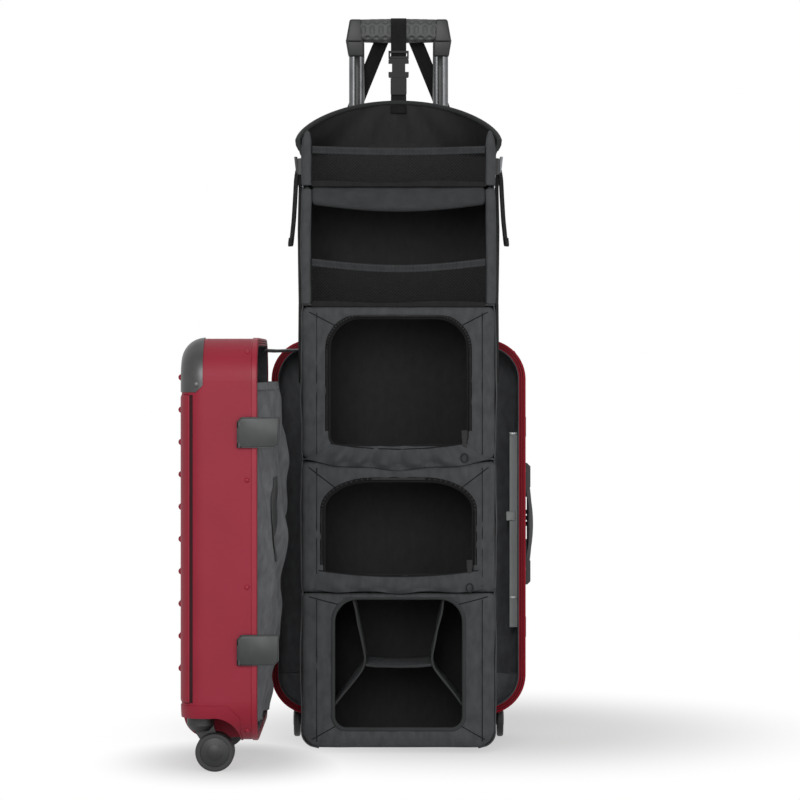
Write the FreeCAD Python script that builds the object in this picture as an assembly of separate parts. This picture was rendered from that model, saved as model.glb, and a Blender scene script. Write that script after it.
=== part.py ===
"""Cabin suitcase, standing open, with a fabric closet hung from its telescopic handle. Millimetres, +Z up.

The floor is z = 0 and the rear half's rim lies in the plane y = 0, with the rear half behind it at +Y.
Both halves are modelled as trays that open towards y = 0; the lid is mirrored into its closed place and
then swung open about the hinge pin.
"""
import FreeCAD, Part
import math
import os

# Case
CASE_WIDTH = 356.0
CASE_HEIGHT = 526.0
CASE_FLOOR_Z = 40.0
REAR_DEPTH = 115.0
LID_DEPTH = 100.0
CORNER_RADIUS = 55.0
EDGE_RADIUS = 30.0
WALL = 1.8
RIB_COUNT = 10
RIB_LOW_INSET = 95.5
RIB_TOP_INSET = 50.7
RIB_RADIUS = 4.2
RIB_PROUD = 4.5
RIB_END_INSET = 26.0

# Rim frame and lining
RIM_GAP = 0.3
RIM_DEPTH = 9.0
RIM_WIDTH = 8.0
GROOVE_WIDTH = 1.3
GROOVE_DEPTH = 1.4
GROOVE_OFFSETS = (2.0, 5.0)
LINING_CLEARANCE = 0.3
LINING_THICKNESS = 1.2
LINING_FRONT = 1.5
REAR_LINING_DEPTH = 60.0
LID_LINING_DEPTH = 97.5

# Corner guards
SEAT_GAP = 0.12
GUARD_THICKNESS = 1.4
GUARD_HEIGHT = 70.0
GUARD_DEPTH = 29.0
GUARD_CHAMFER = 9.0

# Wheel housings and casters
WELL_LENGTH = 77.0
WELL_WIDTH = 88.0
WELL_ROOF_Z = 72.0
WELL_ARCH_RUN = 39.0
WELL_LIP_Z = 43.0
WELL_ARCH_BULGE = (0.27, 0.70)
HOUSING_WALL = 2.2
HOUSING_SKIN = 1.2
HOUSING_TOP_Z = 88.6
HOUSING_BEVEL = 16.0
SWIVEL_FROM_BACK = 24.0
SWIVEL_FROM_SIDE = 42.0
STEM_RADIUS = 5.0
STEM_LENGTH = 14.0
STEM_BOSS_WALL = 4.0
SWIVEL_CLEARANCE = 0.3
CUP_RADIUS = 18.0
CUP_HEIGHT = 18.5
CUP_FOOT_RADIUS = 12.0
CUP_FOOT_HEIGHT = 7.0
WHEEL_RADIUS = 25.5
WHEEL_WIDTH = 9.0
WHEEL_TRAIL = 19.0
WHEEL_GAP = 0.4
TREAD_CHAMFER = 1.8
DISH_DEPTH = 1.2
DISH_RADIUS = 19.4
CAP_RADIUS = 10.7
FORK_WIDTH = 8.0
FORK_RADIUS = 9.0
FORK_HEEL = 9.9
FORK_TOE = 16.2
FORK_HEEL_LIFT = 2.0
AXLE_RADIUS = 3.0
AXLE_CLEARANCE = 0.05

# Hinge and latches
HINGE_OFFSET = 5.0
HINGE_KNUCKLE_RADIUS = 4.0
HINGE_PIN_RADIUS = 1.6
HINGE_CLEARANCE = 0.05
HINGE_LEAF = 2.6
HINGE_LEAF_WIDTH = 24.0
HINGE_END_INSET = 73.0
HINGE_KNUCKLES = 5
HINGE_GAP = 0.4
LATCH_SPREAD = 0.268
LATCH_TALL = 39.0
LATCH_INSIDE = 26.0
LATCH_REACH = 28.0
LATCH_THICK = 4.0
LATCH_STANDOFF = 2.4
LATCH_CHAMFER = 6.0
LATCH_BARREL_RADIUS = 2.6
LATCH_PIN_RADIUS = 1.2
LATCH_KNUCKLE = 6.0
LATCH_GAP = 0.4
STRIKE_TALL = 28.0
STRIKE_WIDE = 20.0
STRIKE_THICK = 1.8
STRIKE_FROM_RIM = 4.0
STRIKE_SLOT = 5.0

# Telescopic handle
HANDLE_Y = 80.0
TUBE_SPACING = 120.0
TUBE_WIDTH = 22.0
TUBE_DEPTH = 14.0
TUBE_WALL = 1.2
TUBE_CLEARANCE = 0.6
STAGE_OVERLAP = 40.0
GRIP_TOP_Z = 1026.0
GRIP_HEIGHT = 32.0
GRIP_LENGTH = 151.0
GRIP_DEPTH = 26.0
GRIP_ROUND = 0.62
SLEEVE_LENGTH = 106.0
SLEEVE_WALL = 3.0
NECK_HEIGHT = 22.0
NECK_WALL = 2.2
NECK_CLEARANCE = 0.1
COLLAR_HEIGHT = 8.0
COLLAR_WALL = 1.6
STOP_GAP = 0.3
BUTTON_LENGTH = 20.0
BUTTON_WIDTH = 10.0
BUTTON_ROUND = 0.8
BUTTON_PROUD = 0.5
BUTTON_ROOT = 2.0
BUTTON_TRAVEL = 3.5
BUTTON_CLEARANCE = 0.3
BEZEL_CLEARANCE = 3.0
BEZEL_WALL = 2.0
BEZEL_FLANGE = 3.0
BEZEL_LIP = 1.6
BEZEL_ROUND = 0.6
BEZEL_DEPTH = 56.6
FOOT_LENGTH = 160.0
FOOT_DEPTH = 30.0
FOOT_HEIGHT = 24.0

# Carry handle and combination lock
CARRY_Y = 40.0
CARRY_LIFT = 3.0
CARRY_LENGTH = 172.0
CARRY_BLOCK = 38.0
CARRY_BLOCK_DEPTH = 9.0
CARRY_BLOCK_WIDTH = 24.0
CARRY_FLOOR = 2.4
CARRY_END_WALL = 8.1
CARRY_BEVEL = 4.5
CARRY_GRIP_WIDTH = 19.0
CARRY_GRIP_THICK = 4.6
CARRY_BOW = 5.4
CARRY_CLEARANCE = 0.4
TONGUE_WIDTH = 12.0
TONGUE_THICK = 8.0
TONGUE_LENGTH = 10.4
TONGUE_INSET = 2.8
LOCK_LIFT = 8.0
LOCK_HEIGHT = 58.0
LOCK_WIDTH = 22.0
LOCK_ROUND = 5.5
LOCK_PLATE = 2.4
LOCK_BODY_HEIGHT = 44.0
LOCK_BODY_WIDTH = 16.0
LOCK_BODY_DEPTH = 5.4
DIAL_COUNT = 3
DIAL_RADIUS = 4.2
DIAL_THICK = 6.0
DIAL_PITCH = 8.5
DIAL_PROUD = 2.0
DIAL_SHAFT_RADIUS = 1.2
DIAL_CLEARANCE = 0.3
SHAFT_CLEARANCE = 0.05

# Inside rail of the rear half
RAIL_WIDTH = 11.0
RAIL_THICK = 2.0
RAIL_END_INSET = 125.0
RAIL_DROP = 5.0
RAIL_Y = 22.0
CLIP_HEIGHT = 13.0
CLIP_WIDTH = 16.0
CLIP_THICK = 3.0
CLIP_CHAMFER = 0.8

# Closet
CLOSET_WIDTH = 266.0
CLOSET_DEPTH = 132.0
CLOSET_GAP = 6.0
CLOTH = 3.0
TIER_GAP = 0.3
TIER_FLOORS = {"tier_1": 777.0, "tier_2": 611.0, "tier_3": 400.0, "tier_4": 220.0, "tier_5": 8.0}
POST_TOP_Z = 841.5
BACK_TOP_Z = 850.0
LEAN_AT_TIER_1 = 28.0
LEAN_AT_HOOD = 40.0
POST_WIDTH = 13.0
POST_DEPTH = 11.0
HOOD_APEX_Z = 903.0
HOOD_APEX_Y = 42.0
HOOD_TIP_Z = 842.0
HOOD_OVERHANG = 4.0
HOOD_SPANS = 8
VALANCE_TALL = 38.0
VALANCE_THICK = 9.0
MESH_THICK = 1.4
MESH_HEM = 9.0
MESH_TOPS = {"tier_1": 832.0, "tier_2": 676.0}
MESH_CELL = 15.0
MESH_STRAND = 2.6
DOOR_3 = {"half_width": 94.0, "low": 422.0, "high": 595.0, "corner": 36.0}
DOOR_4 = {"half_width": 101.0, "low": 245.0, "high": 372.0, "corner": 30.0}
DOOR_5 = {"half_width": 89.0, "low": 34.0, "high": 212.0, "corner": 18.0}
DIVIDER_TOP = (63.0, 219.0)
DIVIDER_WAIST = (43.0, 121.0)
DIVIDER_FOOT = (126.0, 18.0)
SLIDER_LENGTH = 12.0
SLIDER_WIDTH = 8.0
SLIDER_THICK = 3.0
PULL_LENGTH = 30.0
PULL_WIDTH = 6.0
PULL_THICK = 1.6
SLIDER_FROM_EDGE = 4.0
SLIDER_LIFT = 8.0
SLIDER_ROUND = 1.2
PULL_LAP = 8.0
CAM_TALL = 23.0
CAM_WIDE = 12.0
CAM_THICK = 9.0
CAM_ROUND = 3.0
CAM_Z = 798.0
CAM_FROM_FRONT = 81.8
STRAP_WIDTH = 22.0
STRAP_THICK = 1.6
SIDE_STRAP_WIDTH = 10.0
SIDE_STRAP_LOW_Z = 620.0
BUCKLE_WIDTH = 29.0
BUCKLE_THICK = 9.0
BUCKLE_CLEARANCE = 0.5
BUCKLE_FEMALE = 27.0
BUCKLE_MALE = 24.0
BUCKLE_TAB = 14.0
LADDER_TALL = 11.0
LADDER_BAR = 3.0
BUCKLE_SHOULDER = 3.0
MALE_ROUND = 2.0
FEMALE_ROUND = 2.5
WINDOW_DEPTH = 5.0
WINDOW_SPAN = (8.1, 20.25)
LEG_TOP_X = 23.5
LEG_FOOT_X = 75.0
LEG_FOOT_Z = 868.0
LEG_WIDTH = 21.0
POCKET_BULGE = 32.0
POCKET_TOP_INSET = 58.0
POCKET_LOW_INSET = 22.0
POCKET_THICK = 3.0
POCKET_FOLDS = 5
POCKET_WAVE = 4.0
POCKET_INSET = 4.0

# Places worked out from the sizes above
SIDE_X = CASE_WIDTH / 2
CASE_TOP_Z = CASE_FLOOR_Z + CASE_HEIGHT
CASE_MID_Z = CASE_FLOOR_Z + CASE_HEIGHT / 2
HINGE_X = -SIDE_X - HINGE_OFFSET
HINGE_LENGTH = CASE_HEIGHT - 2 * HINGE_END_INSET
RIB_FIRST_Z = CASE_FLOOR_Z + RIB_LOW_INSET
RIB_PITCH = (CASE_HEIGHT - RIB_LOW_INSET - RIB_TOP_INSET) / (RIB_COUNT - 1)
LATCH_HEIGHTS = (CASE_MID_Z - LATCH_SPREAD * CASE_HEIGHT, CASE_MID_Z + LATCH_SPREAD * CASE_HEIGHT)
CARRY_Z = CASE_MID_Z + CARRY_LIFT
LOCK_Z = CARRY_Z + LOCK_LIFT
RAIL_HEIGHT = CASE_HEIGHT - 2 * RAIL_END_INSET
RAIL_Z = CASE_MID_Z - RAIL_DROP
POCKET_HEM_Z = CASE_TOP_Z - POCKET_TOP_INSET
POCKET_LOW_Z = CASE_FLOOR_Z + POCKET_LOW_INSET
SWIVEL_X = SIDE_X - SWIVEL_FROM_SIDE
CLOSET_BACK = -CLOSET_GAP
CLOSET_FRONT = CLOSET_BACK - CLOSET_DEPTH
GRIP_LOW_Z = GRIP_TOP_Z - GRIP_HEIGHT
NECK_LOW_Z = GRIP_LOW_Z - NECK_HEIGHT
BEZEL_FLOOR_Z = CASE_TOP_Z - BEZEL_DEPTH
STAGE_TRAVEL = (NECK_LOW_Z - COLLAR_HEIGHT - 2 * STOP_GAP - BEZEL_FLOOR_Z) / 2
MIDDLE_TOP_Z = NECK_LOW_Z - STAGE_TRAVEL - STOP_GAP
OUTER_TOP_Z = BEZEL_FLOOR_Z - BEZEL_WALL
FOOT_TOP_Z = CASE_FLOOR_Z + WALL + SEAT_GAP + FOOT_HEIGHT
FAR = 400.0


def vec(x, y, z):
    return FreeCAD.Vector(x, y, z)


def block(x, y, z):
    """Box from three (low, high) pairs."""
    return Part.makeBox(x[1] - x[0], y[1] - y[0], z[1] - z[0], vec(x[0], y[0], z[0]))


def prism(points, along):
    """Closed polygon pushed along a vector."""
    corners = [vec(*point) for point in points]
    return Part.Face(Part.makePolygon(corners + corners[:1])).extrude(along)


def rod(radius, start, along):
    """Cylinder from a point along a vector."""
    return Part.makeCylinder(radius, along.Length, start, along)


def fuse(shapes):
    return shapes[0].multiFuse(shapes[1:]).removeSplitter()


def mirrored(shape):
    """The shape's twin on the other side of x = 0."""
    return shape.mirror(vec(0, 0, 0), vec(1, 0, 0))


def save(node, shapes):
    """One STEP file per node, with every piece as a solid of its own."""
    solids = [solid for shape in shapes for solid in shape.Solids]
    Part.makeCompound(solids).exportStep("parts/" + node + ".step")


def rounded_wire(half_width, low, high, radius, y):
    """Rounded rectangle in the plane y, centred on x = 0."""
    slant = radius * (1 - math.sqrt(0.5))
    edges = []
    corners = ((1, high, -1), (-1, high, -1), (-1, low, 1), (1, low, 1))
    starts = []
    for side, z, inward in corners:
        across = vec(side * (half_width - radius), y, z)
        upright = vec(side * half_width, y, z + inward * radius)
        middle = vec(side * (half_width - slant), y, z + inward * slant)
        first, last = (upright, across) if side == -inward else (across, upright)
        edges.append(Part.Arc(first, middle, last).toShape())
        starts.append((first, last))
    for index in range(4):
        end = starts[index][1]
        start = starts[(index + 1) % 4][0]
        edges.append(Part.LineSegment(end, start).toShape())
    return Part.Wire(Part.__sortEdges__(edges))


def tray(grow, depth, start=0.0):
    """Outer form of one half, grown outwards, from start back to its depth."""
    wire = rounded_wire(SIDE_X + grow, CASE_FLOOR_Z - grow, CASE_TOP_Z + grow, CORNER_RADIUS + grow, start)
    back = depth + grow
    solid = Part.Face(wire).extrude(vec(0, back - start, 0))
    rims = [e for e in solid.Edges if all(abs(v.Y - back) < 0.001 for v in e.Vertexes)]
    return solid.makeFillet(EDGE_RADIUS + grow, rims)


def ribs(depth):
    """Pressed half-round ribs across the broad face, each with sloping ends."""
    reach = SIDE_X - RIB_END_INSET
    centre_y = depth + RIB_PROUD - RIB_RADIUS
    bar = rod(RIB_RADIUS, vec(-reach, centre_y, RIB_FIRST_Z), vec(2 * reach, 0, 0))
    top_y = depth + RIB_PROUD + 1
    slope = top_y - depth
    ends = prism(
        [(-reach, depth - 1, 0), (reach, depth - 1, 0), (reach - slope, top_y, 0), (slope - reach, top_y, 0)],
        vec(0, 0, CASE_TOP_Z),
    )
    rib = bar.common(ends)
    return [rib.translated(vec(0, 0, RIB_PITCH * index)) for index in range(RIB_COUNT)]


def well(depth, grow):
    """Hollow for a wheel at the +X bottom corner: arched towards the rim, open below, behind and outside."""
    lip = depth - WELL_LENGTH - grow
    arch_end = depth - WELL_LENGTH + WELL_ARCH_RUN
    roof = WELL_ROOF_Z + grow
    run, rise = WELL_ARCH_BULGE
    middle = vec(0, lip + (arch_end - lip) * run, WELL_LIP_Z + (roof - WELL_LIP_Z) * rise)
    points = [
        vec(0, arch_end, roof),
        vec(0, depth + FAR, roof),
        vec(0, depth + FAR, -FAR),
        vec(0, lip, -FAR),
        vec(0, lip, WELL_LIP_Z),
    ]
    edges = [Part.LineSegment(points[i], points[i + 1]).toShape() for i in range(4)]
    edges.append(Part.Arc(points[4], middle, points[0]).toShape())
    profile = Part.Face(Part.Wire(edges))
    profile.translate(vec(SIDE_X - WELL_WIDTH - grow, 0, 0))
    return profile.extrude(vec(FAR, 0, 0))


def both_sides(shape):
    return [shape, mirrored(shape)]


def half_shell(depth):
    """Moulded shell of one half, with its ribs, open at the rim and cut away for the wheels."""
    outer = fuse([tray(0, depth)] + ribs(depth))
    hollow = tray(-WALL, depth, -1.0)
    front = block((-FAR, FAR), (-FAR, RIM_DEPTH), (-FAR, 2 * FAR))
    return outer.cut([hollow, front] + both_sides(well(depth, HOUSING_WALL)))


def half_rim():
    """Frame round the opening, with two grooves for its seal."""
    ring = None
    for inset, y, sign in ((0.0, RIM_GAP, 1), (RIM_WIDTH, RIM_GAP - 1, -1)):
        wire = rounded_wire(
            SIDE_X - inset, CASE_FLOOR_Z + inset, CASE_TOP_Z - inset, CORNER_RADIUS - inset, y
        )
        slab = Part.Face(wire).extrude(vec(0, RIM_DEPTH - y + (1 if sign < 0 else 0), 0))
        ring = slab if ring is None else ring.cut(slab)
    for offset in GROOVE_OFFSETS:
        walls = []
        for inset in (offset, offset + GROOVE_WIDTH):
            wire = rounded_wire(
                SIDE_X - inset, CASE_FLOOR_Z + inset, CASE_TOP_Z - inset, CORNER_RADIUS - inset, RIM_GAP - 1
            )
            walls.append(Part.Face(wire).extrude(vec(0, GROOVE_DEPTH + 1, 0)))
        ring = ring.cut(walls[0].cut(walls[1]))
    return ring


def half_lining(depth, lining_depth):
    """Cloth lining inside the rim, stepped over the wheel housings."""
    inset = RIM_WIDTH + LINING_CLEARANCE
    step_top = WELL_ROOF_Z + HOUSING_WALL + STEM_LENGTH + STEM_BOSS_WALL

    def form(thinner, start):
        grow = -inset - thinner
        step_x = SIDE_X - WELL_WIDTH - HOUSING_WALL - LINING_CLEARANCE - thinner
        step_y = depth - WELL_LENGTH - HOUSING_WALL - LINING_CLEARANCE - thinner
        step = block((step_x, FAR), (step_y, FAR), (0, step_top + thinner))
        return tray(grow, lining_depth + inset, start).cut(both_sides(step))

    return form(0.0, LINING_FRONT).cut(form(LINING_THICKNESS, 0.0))


def corner_guards(depth, shell):
    """Metal caps over the two top corners of the broad face, with one corner of each cut off."""
    skin = tray(GUARD_THICKNESS, depth, RIM_DEPTH)
    low = CASE_TOP_Z - GUARD_HEIGHT
    front = depth - GUARD_DEPTH
    side = prism(
        [
            (0, front, CASE_TOP_Z + FAR),
            (0, front, low + GUARD_CHAMFER),
            (0, front + GUARD_CHAMFER, low),
            (0, depth + FAR, low),
            (0, depth + FAR, CASE_TOP_Z + FAR),
        ],
        vec(FAR, 0, 0),
    )
    inner_x = SIDE_X - GUARD_HEIGHT
    region = side.common(block((inner_x, FAR), (-FAR, FAR), (low - 1, FAR * 2)))
    cap = skin.common(region).cut([tray(SEAT_GAP, depth), shell])
    return both_sides(cap)


def swivel_place(depth):
    return vec(SWIVEL_X, depth - SWIVEL_FROM_BACK, WELL_ROOF_Z)


def wheel_housings(depth):
    """Moulded housings that line the wheel wells and lap over the shell, with a boss for the stem."""
    skin = tray(HOUSING_SKIN, depth, RIM_DEPTH).cut(tray(SEAT_GAP, depth))
    lip = depth - WELL_LENGTH
    outline = prism(
        [
            (0, lip, 0),
            (0, lip, HOUSING_TOP_Z - HOUSING_BEVEL),
            (0, lip + HOUSING_BEVEL, HOUSING_TOP_Z),
            (0, depth + FAR, HOUSING_TOP_Z),
            (0, depth + FAR, 0),
        ],
        vec(FAR, 0, 0),
    )
    outline.translate(vec(SIDE_X - WELL_WIDTH, 0, 0))
    lining = well(depth, HOUSING_WALL - SEAT_GAP).common(tray(HOUSING_SKIN, depth, RIM_DEPTH))
    place = swivel_place(depth)
    boss = rod(STEM_RADIUS + SWIVEL_CLEARANCE + STEM_BOSS_WALL, place, vec(0, 0, STEM_LENGTH + HOUSING_WALL))
    bore = rod(STEM_RADIUS + SWIVEL_CLEARANCE, place - vec(0, 0, 1), vec(0, 0, STEM_LENGTH + 1))
    housing = fuse([lining, skin.common(outline), boss]).cut([well(depth, 0.0), bore])
    return both_sides(housing)


def caster(depth):
    """Swivelling fork with its stem and axle, and the two wheels beside it."""
    place = swivel_place(depth)
    top = place.z - SWIVEL_CLEARANCE
    cup_low = top - CUP_HEIGHT
    foot = vec(place.x, place.y, cup_low)
    cup = rod(CUP_RADIUS, foot + vec(0, 0, CUP_FOOT_HEIGHT), vec(0, 0, CUP_HEIGHT - CUP_FOOT_HEIGHT))
    taper = Part.makeCone(CUP_FOOT_RADIUS, CUP_RADIUS, CUP_FOOT_HEIGHT, foot, vec(0, 0, 1))
    stem = rod(STEM_RADIUS, vec(place.x, place.y, top - 1), vec(0, 0, STEM_LENGTH))
    axle_y = place.y - WHEEL_TRAIL
    left = place.x - FORK_WIDTH / 2
    arm = prism(
        [
            (left, place.y + FORK_HEEL, cup_low + FORK_HEEL_LIFT),
            (left, place.y - FORK_TOE, cup_low + CUP_HEIGHT / 2),
            (left, axle_y - FORK_RADIUS, WHEEL_RADIUS),
            (left, axle_y + FORK_RADIUS, WHEEL_RADIUS),
        ],
        vec(FORK_WIDTH, 0, 0),
    )
    hub = rod(FORK_RADIUS, vec(left, axle_y, WHEEL_RADIUS), vec(FORK_WIDTH, 0, 0))
    half_axle = FORK_WIDTH / 2 + WHEEL_GAP + WHEEL_WIDTH - WHEEL_GAP
    axle = rod(AXLE_RADIUS, vec(place.x - half_axle, axle_y, WHEEL_RADIUS), vec(2 * half_axle, 0, 0))
    fork = fuse([cup, taper, stem, arm, hub, axle])
    wheels = []
    for side in (1, -1):
        inner = vec(place.x + side * (FORK_WIDTH / 2 + WHEEL_GAP), axle_y, WHEEL_RADIUS)
        across = vec(side * WHEEL_WIDTH, 0, 0)
        disc = rod(WHEEL_RADIUS, inner, across)
        tread = [e for e in disc.Edges if isinstance(e.Curve, Part.Circle)]
        disc = disc.makeChamfer(TREAD_CHAMFER, tread)
        face = inner + across
        sunk = vec(-side * DISH_DEPTH, 0, 0)
        dish = rod(DISH_RADIUS, face, sunk).cut(rod(CAP_RADIUS, face, sunk))
        bore = rod(AXLE_RADIUS + AXLE_CLEARANCE, inner, across)
        wheels.append(disc.cut([dish, bore]))
    return fork, wheels


def into_lid(shape):
    """Mirror a half's piece into the closed lid, then swing it open about the hinge pin."""
    piece = shape.mirror(vec(0, 0, 0), vec(0, 1, 0))
    piece.rotate(vec(HINGE_X, 0, 0), vec(0, 0, 1), -90)
    return piece


def hinge_leaf(first):
    """Leaf of the long side hinge; first is 0 for the rear half's knuckles and 1 for the lid's."""
    low = CASE_MID_Z - HINGE_LENGTH / 2
    pitch = HINGE_LENGTH / HINGE_KNUCKLES
    leaf = block((-SIDE_X - HINGE_LEAF, -SIDE_X), (2 * RIM_GAP, HINGE_LEAF_WIDTH), (low, low + HINGE_LENGTH))
    knuckles = []
    bore_radius = HINGE_PIN_RADIUS + HINGE_CLEARANCE
    clearings = [rod(bore_radius, vec(HINGE_X, 0, low - 1), vec(0, 0, HINGE_LENGTH + 2))]
    for index in range(HINGE_KNUCKLES):
        start = low + index * pitch
        if index % 2 == first:
            base = vec(HINGE_X, 0, start + HINGE_GAP / 2)
            knuckles.append(rod(HINGE_KNUCKLE_RADIUS, base, vec(0, 0, pitch - HINGE_GAP)))
        else:
            base = vec(HINGE_X, 0, start - HINGE_GAP / 2)
            clearings.append(rod(HINGE_KNUCKLE_RADIUS + HINGE_GAP, base, vec(0, 0, pitch + HINGE_GAP)))
    return fuse([leaf] + knuckles).cut(clearings)


def hinge_pin():
    low = CASE_MID_Z - HINGE_LENGTH / 2
    return rod(HINGE_PIN_RADIUS, vec(HINGE_X, 0, low), vec(0, 0, HINGE_LENGTH))


def latch(z):
    """Latch plate on the lid's free side, with the two lugs and the pin that carry it."""
    inner_x = SIDE_X + LATCH_STANDOFF
    outer_x = inner_x + LATCH_THICK
    low = z - LATCH_TALL / 2
    high = z + LATCH_TALL / 2
    plate = prism(
        [
            (inner_x, LATCH_INSIDE, low),
            (inner_x, LATCH_INSIDE, high - LATCH_CHAMFER),
            (inner_x, LATCH_INSIDE - LATCH_CHAMFER, high),
            (inner_x, -LATCH_REACH, high),
            (inner_x, -LATCH_REACH, low + LATCH_CHAMFER),
            (inner_x, LATCH_CHAMFER - LATCH_REACH, low),
        ],
        vec(LATCH_THICK, 0, 0),
    )
    middle_x = (inner_x + outer_x) / 2
    pin_y = LATCH_INSIDE - LATCH_BARREL_RADIUS
    lug_y = (pin_y - LATCH_BARREL_RADIUS, LATCH_INSIDE)
    lugs = []
    clearings = []
    for lug_low in (low, high - LATCH_KNUCKLE - LATCH_CHAMFER):
        foot = block((SIDE_X, middle_x), lug_y, (lug_low, lug_low + LATCH_KNUCKLE))
        barrel = rod(LATCH_BARREL_RADIUS, vec(middle_x, pin_y, lug_low), vec(0, 0, LATCH_KNUCKLE))
        lugs.append(fuse([foot, barrel]))
        clearings.append(
            block(
                (SIDE_X, outer_x + 1),
                (lug_y[0] - LATCH_GAP, FAR),
                (lug_low - LATCH_GAP - 1, lug_low + LATCH_KNUCKLE + LATCH_GAP),
            )
        )
    reach = vec(0, 0, LATCH_TALL - LATCH_CHAMFER)
    pin = rod(LATCH_PIN_RADIUS, vec(middle_x, pin_y, low), reach)
    bore = rod(LATCH_PIN_RADIUS + HINGE_CLEARANCE, vec(middle_x, pin_y, low - 1), vec(0, 0, LATCH_TALL + 2))
    return plate.cut(clearings + [bore]), [lug.cut(pin) for lug in lugs] + [pin]


def strike_plates():
    """Plates on the rear half that the latches close over, each with a catch slot."""
    plates = []
    for z in LATCH_HEIGHTS:
        wide = (STRIKE_FROM_RIM, STRIKE_FROM_RIM + STRIKE_WIDE)
        plate = block((SIDE_X, SIDE_X + STRIKE_THICK), wide, (z - STRIKE_TALL / 2, z + STRIKE_TALL / 2))
        middle = sum(wide) / 2
        across = (middle - STRIKE_SLOT / 2, middle + STRIKE_SLOT / 2)
        slot = block((SIDE_X, FAR), across, (z - STRIKE_TALL / 4, z + STRIKE_TALL / 4))
        plates.append(plate.cut(slot))
    return plates


def oval(width, depth, low, high, x):
    """Upright bar of flat-sided oval section on the handle's plane."""
    flat = width / 2 - depth / 2
    bar = block((x - flat, x + flat), (HANDLE_Y - depth / 2, HANDLE_Y + depth / 2), (low, high))
    ends = [rod(depth / 2, vec(x + side * flat, HANDLE_Y, low), vec(0, 0, high - low)) for side in (1, -1)]
    return fuse([bar] + ends)


def stage_size(stage):
    """Outside width and depth of a tube: stage 0 slides inside stage 1, and that inside stage 2."""
    step = 2 * stage * (TUBE_WALL + TUBE_CLEARANCE)
    return TUBE_WIDTH + step, TUBE_DEPTH + step


def tubes(stage, low, high):
    width, depth = stage_size(stage)
    pair = []
    for side in (1, -1):
        x = side * TUBE_SPACING / 2
        bore = oval(width - 2 * TUBE_WALL, depth - 2 * TUBE_WALL, low - 1, high + 1, x)
        pair.append(oval(width, depth, low, high, x).cut(bore))
    return pair


def middle_collars():
    """Rings that end the middle tubes and guide the upper ones."""
    outside = stage_size(1)
    inside = stage_size(0)
    low = MIDDLE_TOP_Z - COLLAR_HEIGHT
    rings = []
    for side in (1, -1):
        x = side * TUBE_SPACING / 2
        ring = oval(outside[0] + 2 * COLLAR_WALL, outside[1] + 2 * COLLAR_WALL, low, MIDDLE_TOP_Z, x)
        bore = [size + 2 * TUBE_CLEARANCE for size in inside]
        way = oval(bore[0], bore[1], low - 1, MIDDLE_TOP_Z + 1, x)
        rings.append(ring.cut(way))
    return rings


def grip_section(grow, half_length):
    """Rounded bar along X round the grip's middle line."""
    half_depth = GRIP_DEPTH / 2 + grow
    low, high = GRIP_LOW_Z - grow, GRIP_TOP_Z + grow
    bar = block((-half_length, half_length), (HANDLE_Y - half_depth, HANDLE_Y + half_depth), (low, high))
    long_edges = [e for e in bar.Edges if e.BoundBox.XLength > half_length]
    return bar.makeFillet(half_depth * GRIP_ROUND, long_edges)


def button_hole(clearance, low):
    half_length = BUTTON_LENGTH / 2 + clearance
    half_width = BUTTON_WIDTH / 2 + clearance
    ways = (HANDLE_Y - half_width, HANDLE_Y + half_width)
    hole = block((-half_length, half_length), ways, (low, GRIP_TOP_Z + BUTTON_PROUD))
    return hole.makeFillet(half_width * BUTTON_ROUND, [e for e in hole.Edges if e.BoundBox.ZLength > 1])


def grip():
    """Moulded grip frame with its necks, the rubber sleeve round it, and the release button."""
    button_low = GRIP_TOP_Z - SLEEVE_WALL - BUTTON_TRAVEL - BUTTON_ROOT
    button = button_hole(0.0, button_low)
    hole = button_hole(BUTTON_CLEARANCE, button_low - BUTTON_TRAVEL - BUTTON_CLEARANCE)
    core = grip_section(-SLEEVE_WALL - BUTTON_CLEARANCE, GRIP_LENGTH / 2)
    waist = grip_section(SLEEVE_WALL, SLEEVE_LENGTH / 2 + BUTTON_CLEARANCE)
    ends = grip_section(0.0, GRIP_LENGTH / 2).cut(waist)
    width, depth = stage_size(0)
    necks = []
    sockets = []
    for side in (1, -1):
        x = side * TUBE_SPACING / 2
        necks.append(oval(width + 2 * NECK_WALL, depth + 2 * NECK_WALL, NECK_LOW_Z, GRIP_LOW_Z, x))
        bore = [size + 2 * NECK_CLEARANCE for size in (width, depth)]
        sockets.append(oval(bore[0], bore[1], NECK_LOW_Z - 1, GRIP_LOW_Z - 1, x))
    frame = fuse([core, ends] + necks).cut(sockets + [hole])
    bore = grip_section(-SLEEVE_WALL, SLEEVE_LENGTH / 2 + 1)
    sleeve = grip_section(0.0, SLEEVE_LENGTH / 2).cut([bore, hole])
    return frame, sleeve, button


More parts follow.
